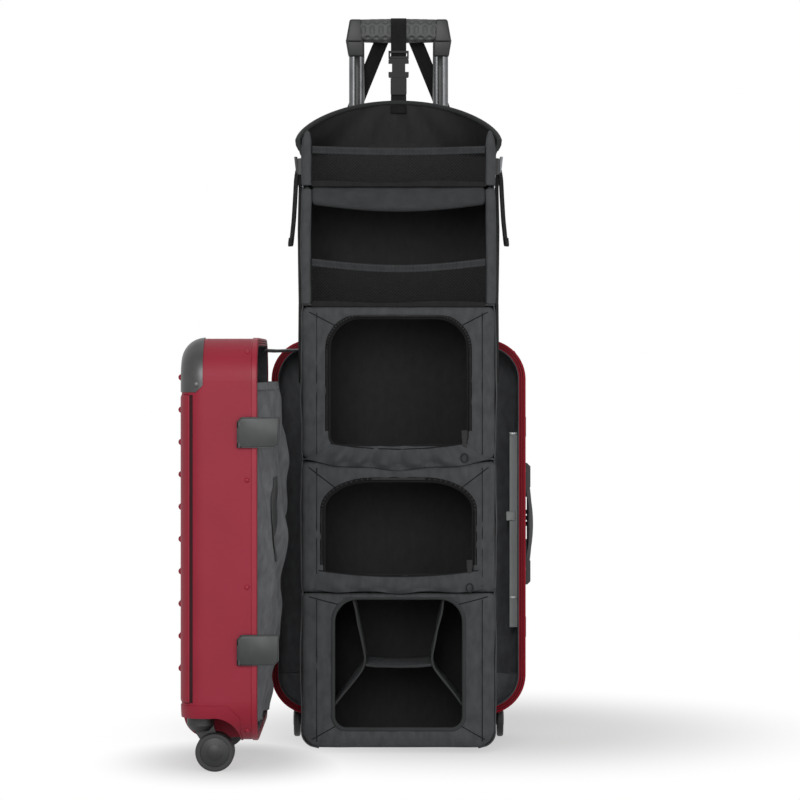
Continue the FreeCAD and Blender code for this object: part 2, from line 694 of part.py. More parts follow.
def handle_bezel():
    """Cup in the top of the case that the grip sinks into, with a flange round its mouth."""
    half_length = GRIP_LENGTH / 2 + BEZEL_CLEARANCE
    half_depth = GRIP_DEPTH / 2 + BEZEL_CLEARANCE

    def cup(grow, low, high):
        ways = (HANDLE_Y - half_depth - grow, HANDLE_Y + half_depth + grow)
        shape = block((-half_length - grow, half_length + grow), ways, (low, high))
        return shape.makeFillet(half_depth * BEZEL_ROUND, [e for e in shape.Edges if e.BoundBox.ZLength > 1])

    outer = cup(BEZEL_WALL, OUTER_TOP_Z, CASE_TOP_Z)
    flange = cup(BEZEL_WALL + BEZEL_FLANGE, CASE_TOP_Z, CASE_TOP_Z + BEZEL_LIP)
    hollow = cup(0.0, BEZEL_FLOOR_Z, CASE_TOP_Z + 2 * BEZEL_LIP)
    width, depth = stage_size(1)
    ways = []
    for side in (1, -1):
        x = side * TUBE_SPACING / 2
        ways.append(oval(width + 2 * TUBE_CLEARANCE, depth + 2 * TUBE_CLEARANCE, 0, CASE_TOP_Z, x))
    way = cup(BEZEL_WALL + SEAT_GAP, OUTER_TOP_Z, CASE_TOP_Z + FAR)
    return fuse([outer, flange]).cut([hollow] + ways), way


def foot_bracket():
    """Bracket on the case floor that the outer tubes stand on."""
    low = FOOT_TOP_Z - FOOT_HEIGHT
    half = FOOT_LENGTH / 2
    ways = (HANDLE_Y - FOOT_DEPTH / 2, HANDLE_Y + FOOT_DEPTH / 2)
    base = block((-half, half), ways, (low, low + FOOT_HEIGHT))
    inner = half - 2 * TUBE_WIDTH
    relief = block((-inner, inner), (-FAR, FAR), (low + FOOT_HEIGHT / 3, FAR))
    return base.cut(relief).common(tray(-WALL - SEAT_GAP, REAR_DEPTH))


def carry_handle():
    """End blocks on the side wall, the bowed grip with its two sliding tongues, and the slots they need."""
    low = CARRY_Z - CARRY_LENGTH / 2
    floor_x = SIDE_X + CARRY_FLOOR
    grip_x = floor_x + CARRY_CLEARANCE
    half_block = CARRY_BLOCK_WIDTH / 2
    half_slot = CARRY_GRIP_WIDTH / 2 + CARRY_CLEARANCE
    end_wall = CARRY_END_WALL
    bevel = CARRY_BEVEL
    top_x = SIDE_X + CARRY_BLOCK_DEPTH
    half_tongue = TONGUE_WIDTH / 2
    blocks, tongues, slots = [], [], []
    for flip in (1, -1):

        def at(distance):
            return CARRY_Z - flip * (CARRY_LENGTH / 2 - distance)

        def upright(first, second):
            return tuple(sorted((at(first), at(second))))

        body = prism(
            [
                (SIDE_X, CARRY_Y - half_block, at(0)),
                (top_x - bevel, CARRY_Y - half_block, at(0)),
                (top_x, CARRY_Y - half_block, at(bevel)),
                (top_x, CARRY_Y - half_block, at(CARRY_BLOCK - bevel)),
                (top_x - bevel, CARRY_Y - half_block, at(CARRY_BLOCK)),
                (SIDE_X, CARRY_Y - half_block, at(CARRY_BLOCK)),
            ],
            vec(0, CARRY_BLOCK_WIDTH, 0),
        )
        channel = block(
            (floor_x, FAR), (CARRY_Y - half_slot, CARRY_Y + half_slot), upright(end_wall, CARRY_BLOCK + 1)
        )
        tongue_low = end_wall + TONGUE_INSET
        tongue = block(
            (grip_x - TONGUE_LENGTH, grip_x + 1),
            (CARRY_Y - half_tongue, CARRY_Y + half_tongue),
            upright(tongue_low, tongue_low + TONGUE_THICK),
        )
        slot = block(
            (grip_x - 2 * TONGUE_LENGTH, FAR),
            (CARRY_Y - half_tongue - CARRY_CLEARANCE, CARRY_Y + half_tongue + CARRY_CLEARANCE),
            upright(tongue_low - CARRY_CLEARANCE, tongue_low + TONGUE_THICK + CARRY_CLEARANCE),
        )
        blocks.append(body.cut([channel, slot]))
        tongues.append(tongue)
        slots.append(slot)

    grip_low = low + end_wall + 2 * CARRY_CLEARANCE
    grip_high = 2 * CARRY_Z - grip_low
    straight = CARRY_BLOCK - end_wall
    back_y = CARRY_Y - CARRY_GRIP_WIDTH / 2

    def side(x):
        stations = (grip_low, grip_low + straight, grip_high - straight, grip_high)
        ends = [vec(x, back_y, z) for z in stations]
        bow = Part.Arc(ends[1], vec(x + CARRY_BOW, back_y, CARRY_Z), ends[2])
        runs = [Part.LineSegment(ends[0], ends[1]), bow, Part.LineSegment(ends[2], ends[3])]
        return [run.toShape() for run in runs]

    outer_x = grip_x + CARRY_GRIP_THICK
    caps = []
    for z in (grip_low, grip_high):
        caps.append(Part.LineSegment(vec(grip_x, back_y, z), vec(outer_x, back_y, z)).toShape())
    wire = Part.Wire(Part.__sortEdges__(side(grip_x) + side(outer_x) + caps))
    bowed = Part.Face(wire).extrude(vec(0, CARRY_GRIP_WIDTH, 0))
    return blocks, fuse([bowed] + tongues), slots


def combination_lock():
    """Lock body set through the side wall, its shaft, and the number wheels on it."""
    half_width = LOCK_WIDTH / 2
    half_body = LOCK_BODY_WIDTH / 2
    face_x = SIDE_X + LOCK_PLATE
    across = (CARRY_Y - half_width, CARRY_Y + half_width)
    plate = block((SIDE_X, face_x), across, (LOCK_Z - LOCK_HEIGHT / 2, LOCK_Z + LOCK_HEIGHT / 2))
    plate = plate.makeFillet(LOCK_ROUND, [e for e in plate.Edges if e.BoundBox.XLength > 1])

    def body(grow, outer):
        half_height = LOCK_BODY_HEIGHT / 2 + grow
        ways = (CARRY_Y - half_body - grow, CARRY_Y + half_body + grow)
        tall = (LOCK_Z - half_height, LOCK_Z + half_height)
        return block((SIDE_X - LOCK_BODY_DEPTH - grow, outer), ways, tall)

    axis_x = face_x + DIAL_PROUD - DIAL_RADIUS
    dials, pockets = [], []
    for index in range(DIAL_COUNT):
        z = LOCK_Z + (index - (DIAL_COUNT - 1) / 2) * DIAL_PITCH - DIAL_THICK / 2
        wheel = rod(DIAL_RADIUS, vec(axis_x, CARRY_Y, z), vec(0, 0, DIAL_THICK))
        bore = rod(DIAL_SHAFT_RADIUS + SHAFT_CLEARANCE, vec(axis_x, CARRY_Y, z), vec(0, 0, DIAL_THICK))
        dials.append(wheel.cut(bore))
        around = vec(axis_x, CARRY_Y, z - DIAL_CLEARANCE)
        pockets.append(rod(DIAL_RADIUS + DIAL_CLEARANCE, around, vec(0, 0, DIAL_THICK + 2 * DIAL_CLEARANCE)))
    half_shaft = DIAL_COUNT * DIAL_PITCH / 2 + 1
    shaft = rod(DIAL_SHAFT_RADIUS, vec(axis_x, CARRY_Y, LOCK_Z - half_shaft), vec(0, 0, 2 * half_shaft))
    lock = fuse([fuse([plate, body(0.0, face_x)]).cut(pockets), shaft])
    return lock, dials, body(CARRY_CLEARANCE / 2, SIDE_X + 1)


def side_rail():
    """Strip that stands off the right lining wall, with the clip on it."""
    wall_x = SIDE_X - RIM_WIDTH - 2 * LINING_CLEARANCE - LINING_THICKNESS
    ways = (RAIL_Z - RAIL_HEIGHT / 2, RAIL_Z + RAIL_HEIGHT / 2)
    strip = block((wall_x - RAIL_WIDTH, wall_x), (RAIL_Y, RAIL_Y + RAIL_THICK), ways)
    middle = RAIL_Z + CLIP_HEIGHT
    front = RAIL_Y - LINING_CLEARANCE
    across = (wall_x - CLIP_WIDTH, wall_x - CLIP_THICK)
    clip = block(across, (front - CLIP_THICK, front), (middle, middle + CLIP_HEIGHT))
    return [strip, clip.makeChamfer(CLIP_CHAMFER, clip.Edges)]


def lean(z):
    """How far the hung closet leans back at a height, drawn towards the handle."""
    floor_2, floor_1 = TIER_FLOORS["tier_2"], TIER_FLOORS["tier_1"]
    if z <= floor_2:
        return 0.0
    if z <= floor_1:
        return LEAN_AT_TIER_1 * (z - floor_2) / (floor_1 - floor_2)
    return LEAN_AT_TIER_1 + (LEAN_AT_HOOD - LEAN_AT_TIER_1) * (z - floor_1) / (BACK_TOP_Z - floor_1)


def leaning(x, y, z):
    """Panel between (low, high) pairs that leans back with the closet."""
    corners = [(x[0], y[i] + lean(z[k]), z[k]) for i, k in ((0, 0), (1, 0), (1, 1), (0, 1))]
    return prism(corners, vec(x[1] - x[0], 0, 0))


def tier_box(low, high):
    """Sides, back and shelf of one closet tier, open in front and above."""
    half = CLOSET_WIDTH / 2
    depth = (CLOSET_FRONT, CLOSET_BACK)
    tall = (low, high)
    return [
        leaning((-half, CLOTH - half), depth, tall),
        leaning((half - CLOTH, half), depth, tall),
        leaning((-half, half), (CLOSET_BACK - CLOTH, CLOSET_BACK), tall),
        leaning((-half, half), depth, (low, low + CLOTH)),
    ]


def posts(low, high):
    """Padded front edges of an open tier."""
    half = CLOSET_WIDTH / 2
    ways = (CLOSET_FRONT, CLOSET_FRONT + POST_DEPTH)
    return both_sides(leaning((half - POST_WIDTH, half), ways, (low, high)))


def door_tier(low, high, door):
    """Tier whose front panel has a zipped opening."""
    half = CLOSET_WIDTH / 2
    panel = block((-half, half), (CLOSET_FRONT, CLOSET_FRONT + CLOTH), (low, high))
    wire = rounded_wire(door["half_width"], door["low"], door["high"], door["corner"], CLOSET_FRONT - 1)
    way = Part.Face(wire).extrude(vec(0, CLOTH + 2, 0))
    return fuse(tier_box(low, high) + [panel]).cut(way)


def mesh_pocket(low, high):
    """Net panel across an open tier: one face full of diamond gaps, under a plain hem."""
    half = CLOSET_WIDTH / 2 - POST_WIDTH - TIER_GAP

    def at(x, z):
        return vec(x, CLOSET_FRONT + lean(z), z)

    corners = [at(-half, low), at(half, low), at(half, high), at(-half, high)]
    face = Part.Face(Part.makePolygon(corners + corners[:1]))
    gap = (MESH_CELL - MESH_STRAND) / 2
    columns = int((2 * half - 2 * MESH_STRAND) / MESH_CELL)
    rows = int((high - MESH_HEM - low - 2 * MESH_STRAND) / (MESH_CELL / 2)) - 1
    holes = []
    for row in range(rows):
        z = low + MESH_STRAND + (row + 1) * MESH_CELL / 2
        for column in range(columns - row % 2):
            x = (column - (columns - row % 2 - 1) / 2) * MESH_CELL
            ring = [at(x - gap, z), at(x, z - gap), at(x + gap, z), at(x, z + gap)]
            holes.append(Part.Face(Part.makePolygon(ring + ring[:1])))
    return face.cut(holes).extrude(vec(0, MESH_THICK, 0))


def hood_edge(x):
    """Point of the hood's bound front edge: a planar arch that leans back up to the strap."""
    rise = 1 - (x / (CLOSET_WIDTH / 2 + HOOD_OVERHANG)) ** 2
    tip_y = CLOSET_FRONT + lean(BACK_TOP_Z)
    return tip_y + (HOOD_APEX_Y - tip_y) * rise, HOOD_TIP_Z + (HOOD_APEX_Z - HOOD_TIP_Z) * rise


def flat_face(points):
    return Part.Face(Part.makePolygon(list(points) + [points[0]]))


def hood():
    """Roof sheet from the bound front edge to the top of the back, with the webbing tab at its apex."""
    half = CLOSET_WIDTH / 2 + HOOD_OVERHANG
    thick = CLOTH * math.sqrt(0.5)
    lift = vec(0, thick, thick)
    back_y = CLOSET_BACK + lean(BACK_TOP_Z) - CLOTH
    fronts, backs = [], []
    for index in range(HOOD_SPANS + 1):
        x = half * (2 * index / HOOD_SPANS - 1)
        front_y, front_z = hood_edge(x)
        fronts.append(vec(x, front_y, front_z + TIER_GAP))
        backs.append(vec(x, back_y, BACK_TOP_Z + TIER_GAP))
    faces = []
    for i in range(HOOD_SPANS):
        for rise in (vec(0, 0, 0), lift):
            faces.append(flat_face([fronts[i] + rise, backs[i] + rise, fronts[i + 1] + rise]))
            faces.append(flat_face([backs[i] + rise, backs[i + 1] + rise, fronts[i + 1] + rise]))
        for line in (fronts, backs):
            faces.append(flat_face([line[i], line[i + 1], line[i + 1] + lift, line[i] + lift]))
    for i in (0, HOOD_SPANS):
        faces.append(flat_face([fronts[i], backs[i], backs[i] + lift, fronts[i] + lift]))
    roof = Part.Solid(Part.Shell(faces))
    if roof.Volume < 0:
        roof.reverse()
    half_strap = STRAP_WIDTH / 2
    strap_y = buckle_plane() - STRAP_THICK / 2
    foot_z = HOOD_APEX_Z - CLOTH
    head_z = buckle_low()
    tab = prism(
        [
            (-half_strap, HOOD_APEX_Y, foot_z),
            (-half_strap, strap_y, head_z - TIER_GAP),
            (-half_strap, strap_y + STRAP_THICK, head_z - TIER_GAP),
            (-half_strap, HOOD_APEX_Y + 2 * thick, foot_z),
        ],
        vec(STRAP_WIDTH, 0, 0),
    )
    return fuse([roof, tab])


def buckle_plane():
    """Middle of the buckle, which hangs just in front of the grip so that the grip can pass behind it."""
    return HANDLE_Y - GRIP_DEPTH / 2 - BUCKLE_CLEARANCE - BUCKLE_THICK / 2


def buckle_low():
    return HOOD_APEX_Z + BUCKLE_TAB


def strap_buckle():
    """Side-release buckle in two halves with the ladder bar above it."""
    middle = buckle_plane()
    ways = (middle - BUCKLE_THICK / 2, middle + BUCKLE_THICK / 2)
    half = BUCKLE_WIDTH / 2
    waist = half - BUCKLE_SHOULDER
    low = buckle_low()
    male = block((-waist, waist), ways, (low, low + BUCKLE_MALE))
    male = male.makeFillet(MALE_ROUND, [e for e in male.Edges if e.BoundBox.YLength > 1])
    joint = low + BUCKLE_MALE + TIER_GAP
    female = block((-half, half), ways, (joint, joint + BUCKLE_FEMALE))
    female = female.makeFillet(FEMALE_ROUND, [e for e in female.Edges if e.BoundBox.YLength > 1])
    tall = (joint + WINDOW_SPAN[0], joint + WINDOW_SPAN[1])
    window = block((half - WINDOW_DEPTH, FAR), (-FAR, FAR), tall)
    female = female.cut(both_sides(window))
    bar_low = joint + BUCKLE_FEMALE + TIER_GAP
    bar = block((-half, half), ways, (bar_low, bar_low + LADDER_TALL))
    half_slot = STRAP_WIDTH / 2 + 1
    tall = (bar_low + LADDER_BAR, bar_low + LADDER_TALL - LADDER_BAR)
    slot = block((-half_slot, half_slot), (-FAR, FAR), tall)
    return [male, female, bar.cut(slot)], bar_low + LADDER_TALL


def hang_strap(low):
    """Webbing looped over the grip, its front run down to the buckle, and the two legs behind the tubes."""
    half = STRAP_WIDTH / 2
    inner = BUTTON_CLEARANCE + BUCKLE_CLEARANCE
    loop = grip_section(inner + STRAP_THICK, half).cut(grip_section(inner, half + 1))
    front = HANDLE_Y - GRIP_DEPTH / 2 - inner - STRAP_THICK
    foot = buckle_plane() - STRAP_THICK / 2
    knee = GRIP_LOW_Z + GRIP_HEIGHT / 2
    run = prism(
        [
            (-half, front, knee),
            (-half, foot, low + TIER_GAP),
            (-half, foot + STRAP_THICK, low + TIER_GAP),
            (-half, front + STRAP_THICK, knee),
        ],
        vec(STRAP_WIDTH, 0, 0),
    )
    back = HANDLE_Y + GRIP_DEPTH / 2 + inner
    slope_width = LEG_WIDTH / 2
    leg = prism(
        [
            (LEG_TOP_X - slope_width, back, GRIP_LOW_Z + GRIP_HEIGHT / 2),
            (LEG_TOP_X + slope_width, back, GRIP_LOW_Z),
            (LEG_FOOT_X + slope_width, back, LEG_FOOT_Z),
            (LEG_FOOT_X - slope_width, back, LEG_FOOT_Z),
            (0, back, GRIP_LOW_Z + GRIP_HEIGHT / 2 - LEG_WIDTH / 2),
            (0, back, GRIP_LOW_Z + GRIP_HEIGHT / 2),
        ],
        vec(0, STRAP_THICK, 0),
    )
    outside = TUBE_SPACING / 2 + TUBE_WIDTH / 2 + NECK_WALL
    closet_back = CLOSET_BACK + LEAN_AT_HOOD + TIER_GAP
    tall = (LEG_FOOT_Z, LEG_FOOT_Z + LEG_WIDTH)
    anchor = block((outside, outside + STRAP_THICK), (closet_back, back), tall)
    return fuse([loop, run] + both_sides(leg) + both_sides(anchor))


def zip_slider(door):
    """Slider body at the lower end of a zip, with its pull hanging."""
    x = door["half_width"] - SLIDER_FROM_EDGE
    z = door["low"] + SLIDER_LIFT
    back = CLOSET_FRONT - TIER_GAP
    half = SLIDER_WIDTH / 2
    body = block((x - half, x + half), (back - SLIDER_THICK, back), (z, z + SLIDER_LENGTH))
    body = body.makeFillet(SLIDER_ROUND, [e for e in body.Edges if e.BoundBox.YLength > 1])
    half_pull = PULL_WIDTH / 2
    front = back - SLIDER_THICK
    tall = (z + PULL_LAP - PULL_LENGTH, z + PULL_LAP)
    pull = block((x - half_pull, x + half_pull), (front - PULL_THICK, front), tall)
    return fuse([body, pull])


def cam_buckles():
    """Cam locks of the compression straps, one on each side of the top tier."""
    half = CLOSET_WIDTH / 2 + TIER_GAP
    front = CLOSET_FRONT + lean(CAM_Z) + CAM_FROM_FRONT
    body = block((half, half + CAM_THICK), (front, front + CAM_WIDE), (CAM_Z, CAM_Z + CAM_TALL))
    outer = [e for e in body.Edges if abs(e.BoundBox.XMin - half - CAM_THICK) < 0.01]
    return both_sides(body.makeFillet(CAM_ROUND, outer))


def compression_straps():
    """Webbing that runs down the closet's sides from the cam locks."""
    half = CLOSET_WIDTH / 2 + TIER_GAP
    front = CLOSET_FRONT + CAM_FROM_FRONT + (CAM_WIDE - SIDE_STRAP_WIDTH) / 2
    high = TIER_FLOORS["tier_1"] - TIER_GAP
    ways = (front, front + SIDE_STRAP_WIDTH)
    return both_sides(leaning((half, half + STRAP_THICK), ways, (SIDE_STRAP_LOW_Z, high)))


def tier_dividers():
    """Sewn walls of the bottom tier: two bent panels that meet a cross panel at their waists."""
    front = CLOSET_FRONT + CLOTH + TIER_GAP
    back = CLOSET_BACK - CLOTH - TIER_GAP
    bends = (DIVIDER_TOP, DIVIDER_WAIST, DIVIDER_FOOT)
    ring = [(x, front, z) for x, z in bends] + [(x + CLOTH, front, z) for x, z in reversed(bends)]
    wall = prism(ring, vec(0, back - front, 0))
    waist_x, waist_z = DIVIDER_WAIST
    cross = block((-waist_x - 1, waist_x + 1), (front, back), (waist_z - CLOTH / 2, waist_z + CLOTH / 2))
    return fuse(both_sides(wall) + [cross])


def lid_pocket_panel():
    """Cloth pocket that bellies out of the lid, in upright folds."""
    half = SIDE_X - RIM_WIDTH - LINING_CLEARANCE * 2 - LINING_THICKNESS
    stations = 4 * POCKET_FOLDS

    def belly(share):
        x = half * (2 * share - 1)
        bulge = POCKET_INSET - POCKET_BULGE * (1 - (2 * share - 1) ** 2)
        fold = math.sin(2 * math.pi * POCKET_FOLDS * share) * math.sin(math.pi * share)
        return x, bulge + POCKET_WAVE * fold

    def side(shift):
        edges = []
        for index in range(stations):
            points = []
            for part in (0.0, 0.5, 1.0):
                x, y = belly((index + part) / stations)
                points.append(vec(x, y + shift, POCKET_LOW_Z))
            edges.append(Part.Arc(*points).toShape())
        return edges

    caps = []
    for share in (0.0, 1.0):
        x, y = belly(share)
        start = vec(x, y, POCKET_LOW_Z)
        caps.append(Part.LineSegment(start, start + vec(0, POCKET_THICK, 0)).toShape())
    wire = Part.Wire(Part.__sortEdges__(side(0.0) + side(POCKET_THICK) + caps))
    panel = Part.Face(wire).extrude(vec(0, 0, POCKET_HEM_Z - POCKET_LOW_Z))
    radius = CORNER_RADIUS - SIDE_X + half
    bend_z = CASE_FLOOR_Z + SIDE_X - half + radius
    foot_x = half - radius + math.sqrt(radius ** 2 - (bend_z - POCKET_LOW_Z) ** 2)
    corner = prism(
        [
            (half, -FAR, bend_z),
            (foot_x, -FAR, POCKET_LOW_Z),
            (foot_x, -FAR, 0),
            (half + FAR, -FAR, 0),
            (half + FAR, -FAR, bend_z),
        ],
        vec(0, 2 * FAR, 0),
    )
    return panel.cut(both_sides(corner))


def build_case():
    bezel, bezel_way = handle_bezel()
    blocks, carry_grip, carry_slots = carry_handle()
    lock, dials, lock_way = combination_lock()
    whole = half_shell(REAR_DEPTH)
    save("rear_shell", [whole.cut([bezel_way, lock_way] + carry_slots)])
    save("rear_rim", [half_rim()])
    save("rear_lining", [half_lining(REAR_DEPTH, REAR_LINING_DEPTH)])
    save("rear_corner_guards", corner_guards(REAR_DEPTH, whole))
    save("rear_wheel_housings", wheel_housings(REAR_DEPTH))
    save("rear_hinge_leaf", [hinge_leaf(0)])
    save("hinge_pin", [hinge_pin()])
    save("strike_plates", strike_plates())
    save("handle_bezel", [bezel])
    save("outer_tubes", tubes(2, FOOT_TOP_Z, OUTER_TOP_Z))
    save("tube_foot_bracket", [foot_bracket()])
    save("carry_handle_ends", blocks)
    save("carry_grip", [carry_grip])
    save("lock_body", [lock])
    for index, dial in enumerate(dials):
        save("lock_dial_" + str(index + 1), [dial])
    save("side_rail", side_rail())


def build_lid():
    shell = half_shell(LID_DEPTH)
    save("lid_shell", [into_lid(shell)])
    save("lid_rim", [into_lid(half_rim())])
    save("lid_lining", [into_lid(half_lining(LID_DEPTH, LID_LINING_DEPTH))])
    save("lid_corner_guards", [into_lid(guard) for guard in corner_guards(LID_DEPTH, shell)])
    save("lid_wheel_housings", [into_lid(housing) for housing in wheel_housings(LID_DEPTH)])
    save("lid_hinge_leaf", [into_lid(hinge_leaf(1))])
    save("lid_pocket_panel", [into_lid(lid_pocket_panel())])
    lugs = []
    for name, z in zip(("lower", "upper"), LATCH_HEIGHTS):
        plate, mounts = latch(z)
        lugs += [into_lid(mount) for mount in mounts]
        save("latch_" + name, [into_lid(plate)])
    save("latch_lugs", lugs)


def build_casters():
    for half, depth, place in (("rear", REAR_DEPTH, None), ("lid", LID_DEPTH, into_lid)):
        fork, wheels = caster(depth)
        for side in ("right", "left"):
            pieces = [fork] + wheels
            if side == "left":
                pieces = [mirrored(piece) for piece in pieces]
            if place:
                pieces = [place(piece) for piece in pieces]
            save(half + "_fork_" + side, pieces[:1])
            save(half + "_wheel_" + side, pieces[1:])


def build_handle():
    frame, sleeve, button = grip()
    reach = STAGE_TRAVEL + STAGE_OVERLAP
    save("middle_tubes", tubes(1, MIDDLE_TOP_Z - COLLAR_HEIGHT - reach, MIDDLE_TOP_Z - COLLAR_HEIGHT))
    save("middle_collars", middle_collars())
    save("upper_tubes", tubes(0, MIDDLE_TOP_Z - STAGE_OVERLAP, GRIP_LOW_Z - 1 - STOP_GAP))
    save("grip_frame", [frame])
    save("grip_sleeve", [sleeve])
    save("release_button", [button])
    buckle, buckle_top = strap_buckle()
    save("strap_buckle", buckle)
    save("hang_strap", [hang_strap(buckle_top)])


def build_closet():
    floors = list(TIER_FLOORS.values())
    tops = [BACK_TOP_Z] + [floor - TIER_GAP for floor in floors[:-1]]
    half = CLOSET_WIDTH / 2
    top_low, top_high = floors[0], tops[0]
    slope = prism(
        [
            (-FAR, CLOSET_FRONT + lean(POST_TOP_Z) - FAR, FAR * 3),
            (-FAR, CLOSET_FRONT + lean(POST_TOP_Z) - FAR, POST_TOP_Z),
            (-FAR, CLOSET_FRONT + lean(POST_TOP_Z), POST_TOP_Z),
            (-FAR, CLOSET_BACK + lean(BACK_TOP_Z), BACK_TOP_Z),
            (-FAR, FAR, BACK_TOP_Z),
            (-FAR, FAR, FAR * 3),
        ],
        vec(2 * FAR, 0, 0),
    )
    save("tier_1_body", [fuse(tier_box(top_low, top_high) + posts(top_low, top_high)).cut(slope)])
    save("tier_1_mesh", [mesh_pocket(top_low + CLOTH + TIER_GAP, MESH_TOPS["tier_1"])])
    save("hood", [hood()])
    inner = half - POST_WIDTH
    valance = leaning(
        (-inner, inner), (CLOSET_FRONT, CLOSET_FRONT + VALANCE_THICK), (tops[1] - VALANCE_TALL, tops[1])
    )
    save("tier_2_body", [fuse(tier_box(floors[1], tops[1]) + posts(floors[1], tops[1]) + [valance])])
    save("tier_2_mesh", [mesh_pocket(floors[1] + CLOTH + TIER_GAP, MESH_TOPS["tier_2"])])
    for index, door in ((2, DOOR_3), (3, DOOR_4), (4, DOOR_5)):
        save("tier_" + str(index + 1) + "_body", [door_tier(floors[index], tops[index], door)])
    save("tier_5_dividers", [tier_dividers()])
    save("tier_3_slider", [zip_slider(DOOR_3)])
    save("tier_4_slider", [zip_slider(DOOR_4)])
    save("cam_buckles", cam_buckles())
    save("compression_straps", compression_straps())


os.makedirs("parts", exist_ok=True)
build_case()
build_lid()
build_casters()
build_handle()
build_closet()
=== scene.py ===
# %% [markdown]
# # A cabin suitcase with a hanging closet
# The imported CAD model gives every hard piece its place. This lesson dresses it: finishes for the hard
# pieces, then the cloth, nets, webbing and small fasteners that are easier to shape here than in CAD.

# %% Load the frame
import bpy
import bmesh
from math import atan2, copysign, cos, hypot, pi, radians, sin, sqrt
from mathutils import Matrix, Vector, noise


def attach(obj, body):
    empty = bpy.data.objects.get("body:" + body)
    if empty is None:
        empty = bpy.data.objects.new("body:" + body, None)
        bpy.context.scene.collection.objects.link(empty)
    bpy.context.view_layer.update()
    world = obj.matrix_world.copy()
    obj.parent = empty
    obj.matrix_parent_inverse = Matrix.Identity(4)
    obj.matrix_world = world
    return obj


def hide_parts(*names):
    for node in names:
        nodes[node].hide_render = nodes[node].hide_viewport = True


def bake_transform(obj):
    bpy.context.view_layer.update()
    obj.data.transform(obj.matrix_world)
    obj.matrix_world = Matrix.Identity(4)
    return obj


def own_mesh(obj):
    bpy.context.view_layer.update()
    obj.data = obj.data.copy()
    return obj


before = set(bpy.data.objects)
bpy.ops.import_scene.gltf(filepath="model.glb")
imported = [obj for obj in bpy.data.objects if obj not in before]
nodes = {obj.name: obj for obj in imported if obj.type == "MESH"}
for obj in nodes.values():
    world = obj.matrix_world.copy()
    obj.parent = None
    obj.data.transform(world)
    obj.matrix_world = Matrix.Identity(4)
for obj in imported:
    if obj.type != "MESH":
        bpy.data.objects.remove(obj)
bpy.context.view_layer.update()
MM = 0.001

# %% [markdown]
# ## Tools for finishes
# Colours are written as sRGB hex, as a picture editor shows them, and Blender wants linear light, so one
# function converts. Another adds a shader node with its settings and links in one line.

# %% Node helpers
def linear(code):
    """sRGB hex to the linear colour that a shader reads."""
    parts = [int(code[i:i + 2], 16) / 255 for i in (1, 3, 5)]
    return [c / 12.92 if c <= 0.04045 else ((c + 0.055) / 1.055) ** 2.4 for c in parts] + [1.0]


def add(tree, kind, inputs=None, **settings):
    """One shader node: properties by name, then sockets fed from a value, an output or a whole node."""
    node = tree.nodes.new("ShaderNode" + kind)
    for key, value in settings.items():
        setattr(node, key, value)
    for socket, value in (inputs or {}).items():
        if isinstance(value, bpy.types.Node):
            value = value.outputs[0]
        if isinstance(value, bpy.types.NodeSocket):
            tree.links.new(value, node.inputs[socket])
        else:
            node.inputs[socket].default_value = value
    return node


def empty_tree(owner):
    """The node tree of a material or world, with nothing in it yet."""
    owner.use_nodes = True
    owner.node_tree.nodes.clear()
    return owner.node_tree


def start_finish(name, **values):
    """A material with its Principled shader, whose plain sockets are set straight away."""
    finish = bpy.data.materials.new(name)
    tree = empty_tree(finish)
    shader = add(tree, "BsdfPrincipled", {key.replace("_", " "): value for key, value in values.items()})
    add(tree, "OutputMaterial", {"Surface": shader})
    return finish, tree, shader


def mottle(tree, shader, place, dark, light, size_mm, stretch=(1, 1, 1)):
    """Soft colour variation of a real size, from dark to light, into the base colour."""
    spread = add(tree, "Mapping", {"Vector": place, "Scale": stretch})
    clouds = add(tree, "TexNoise", {"Vector": spread, "Scale": 1 / (size_mm * MM), "Detail": 3.0})
    ramp = add(tree, "ValToRGB", {"Fac": clouds})
    for stop, position, code in zip(ramp.color_ramp.elements, (0.3, 0.72), (dark, light)):
        stop.position = position
        stop.color = linear(code)
    tree.links.new(ramp.outputs[0], shader.inputs["Base Color"])
    return clouds


def emboss(tree, shader, height, depth_mm, strength):
    """Turn a pattern into a bump of a real depth."""
    bump = add(tree, "Bump", {"Height": height, "Distance": depth_mm * MM, "Strength": strength})
    tree.links.new(bump.outputs[0], shader.inputs["Normal"])


# %% [markdown]
# ## Moulded plastics and rubber
# The shell is a polycarbonate blend, moulded with a faint spark-eroded grain, so it is satin with a wide
# soft highlight. Every moulded finish is the same recipe: colour clouds, grain bump, uneven roughness.

# %% Moulded finishes
MOULD_CLOUD_MM = 60.0
ROUGH_SPREAD = 0.05


def moulded(name, dark, light, rough, grain_mm, grain_depth, **values):
    finish, tree, shader = start_finish(name, **values)
    place = add(tree, "TexCoord").outputs["Object"]
    clouds = mottle(tree, shader, place, dark, light, MOULD_CLOUD_MM)
    grain = add(tree, "TexNoise", {"Vector": place, "Scale": 1 / (grain_mm * MM), "Detail": 2.0})
    emboss(tree, shader, grain, grain_depth, 0.5)
    span = add(tree, "MapRange", {"Value": clouds, "To Min": rough - ROUGH_SPREAD,
                                  "To Max": rough + ROUGH_SPREAD})
    tree.links.new(span.outputs[0], shader.inputs["Roughness"])
    return finish


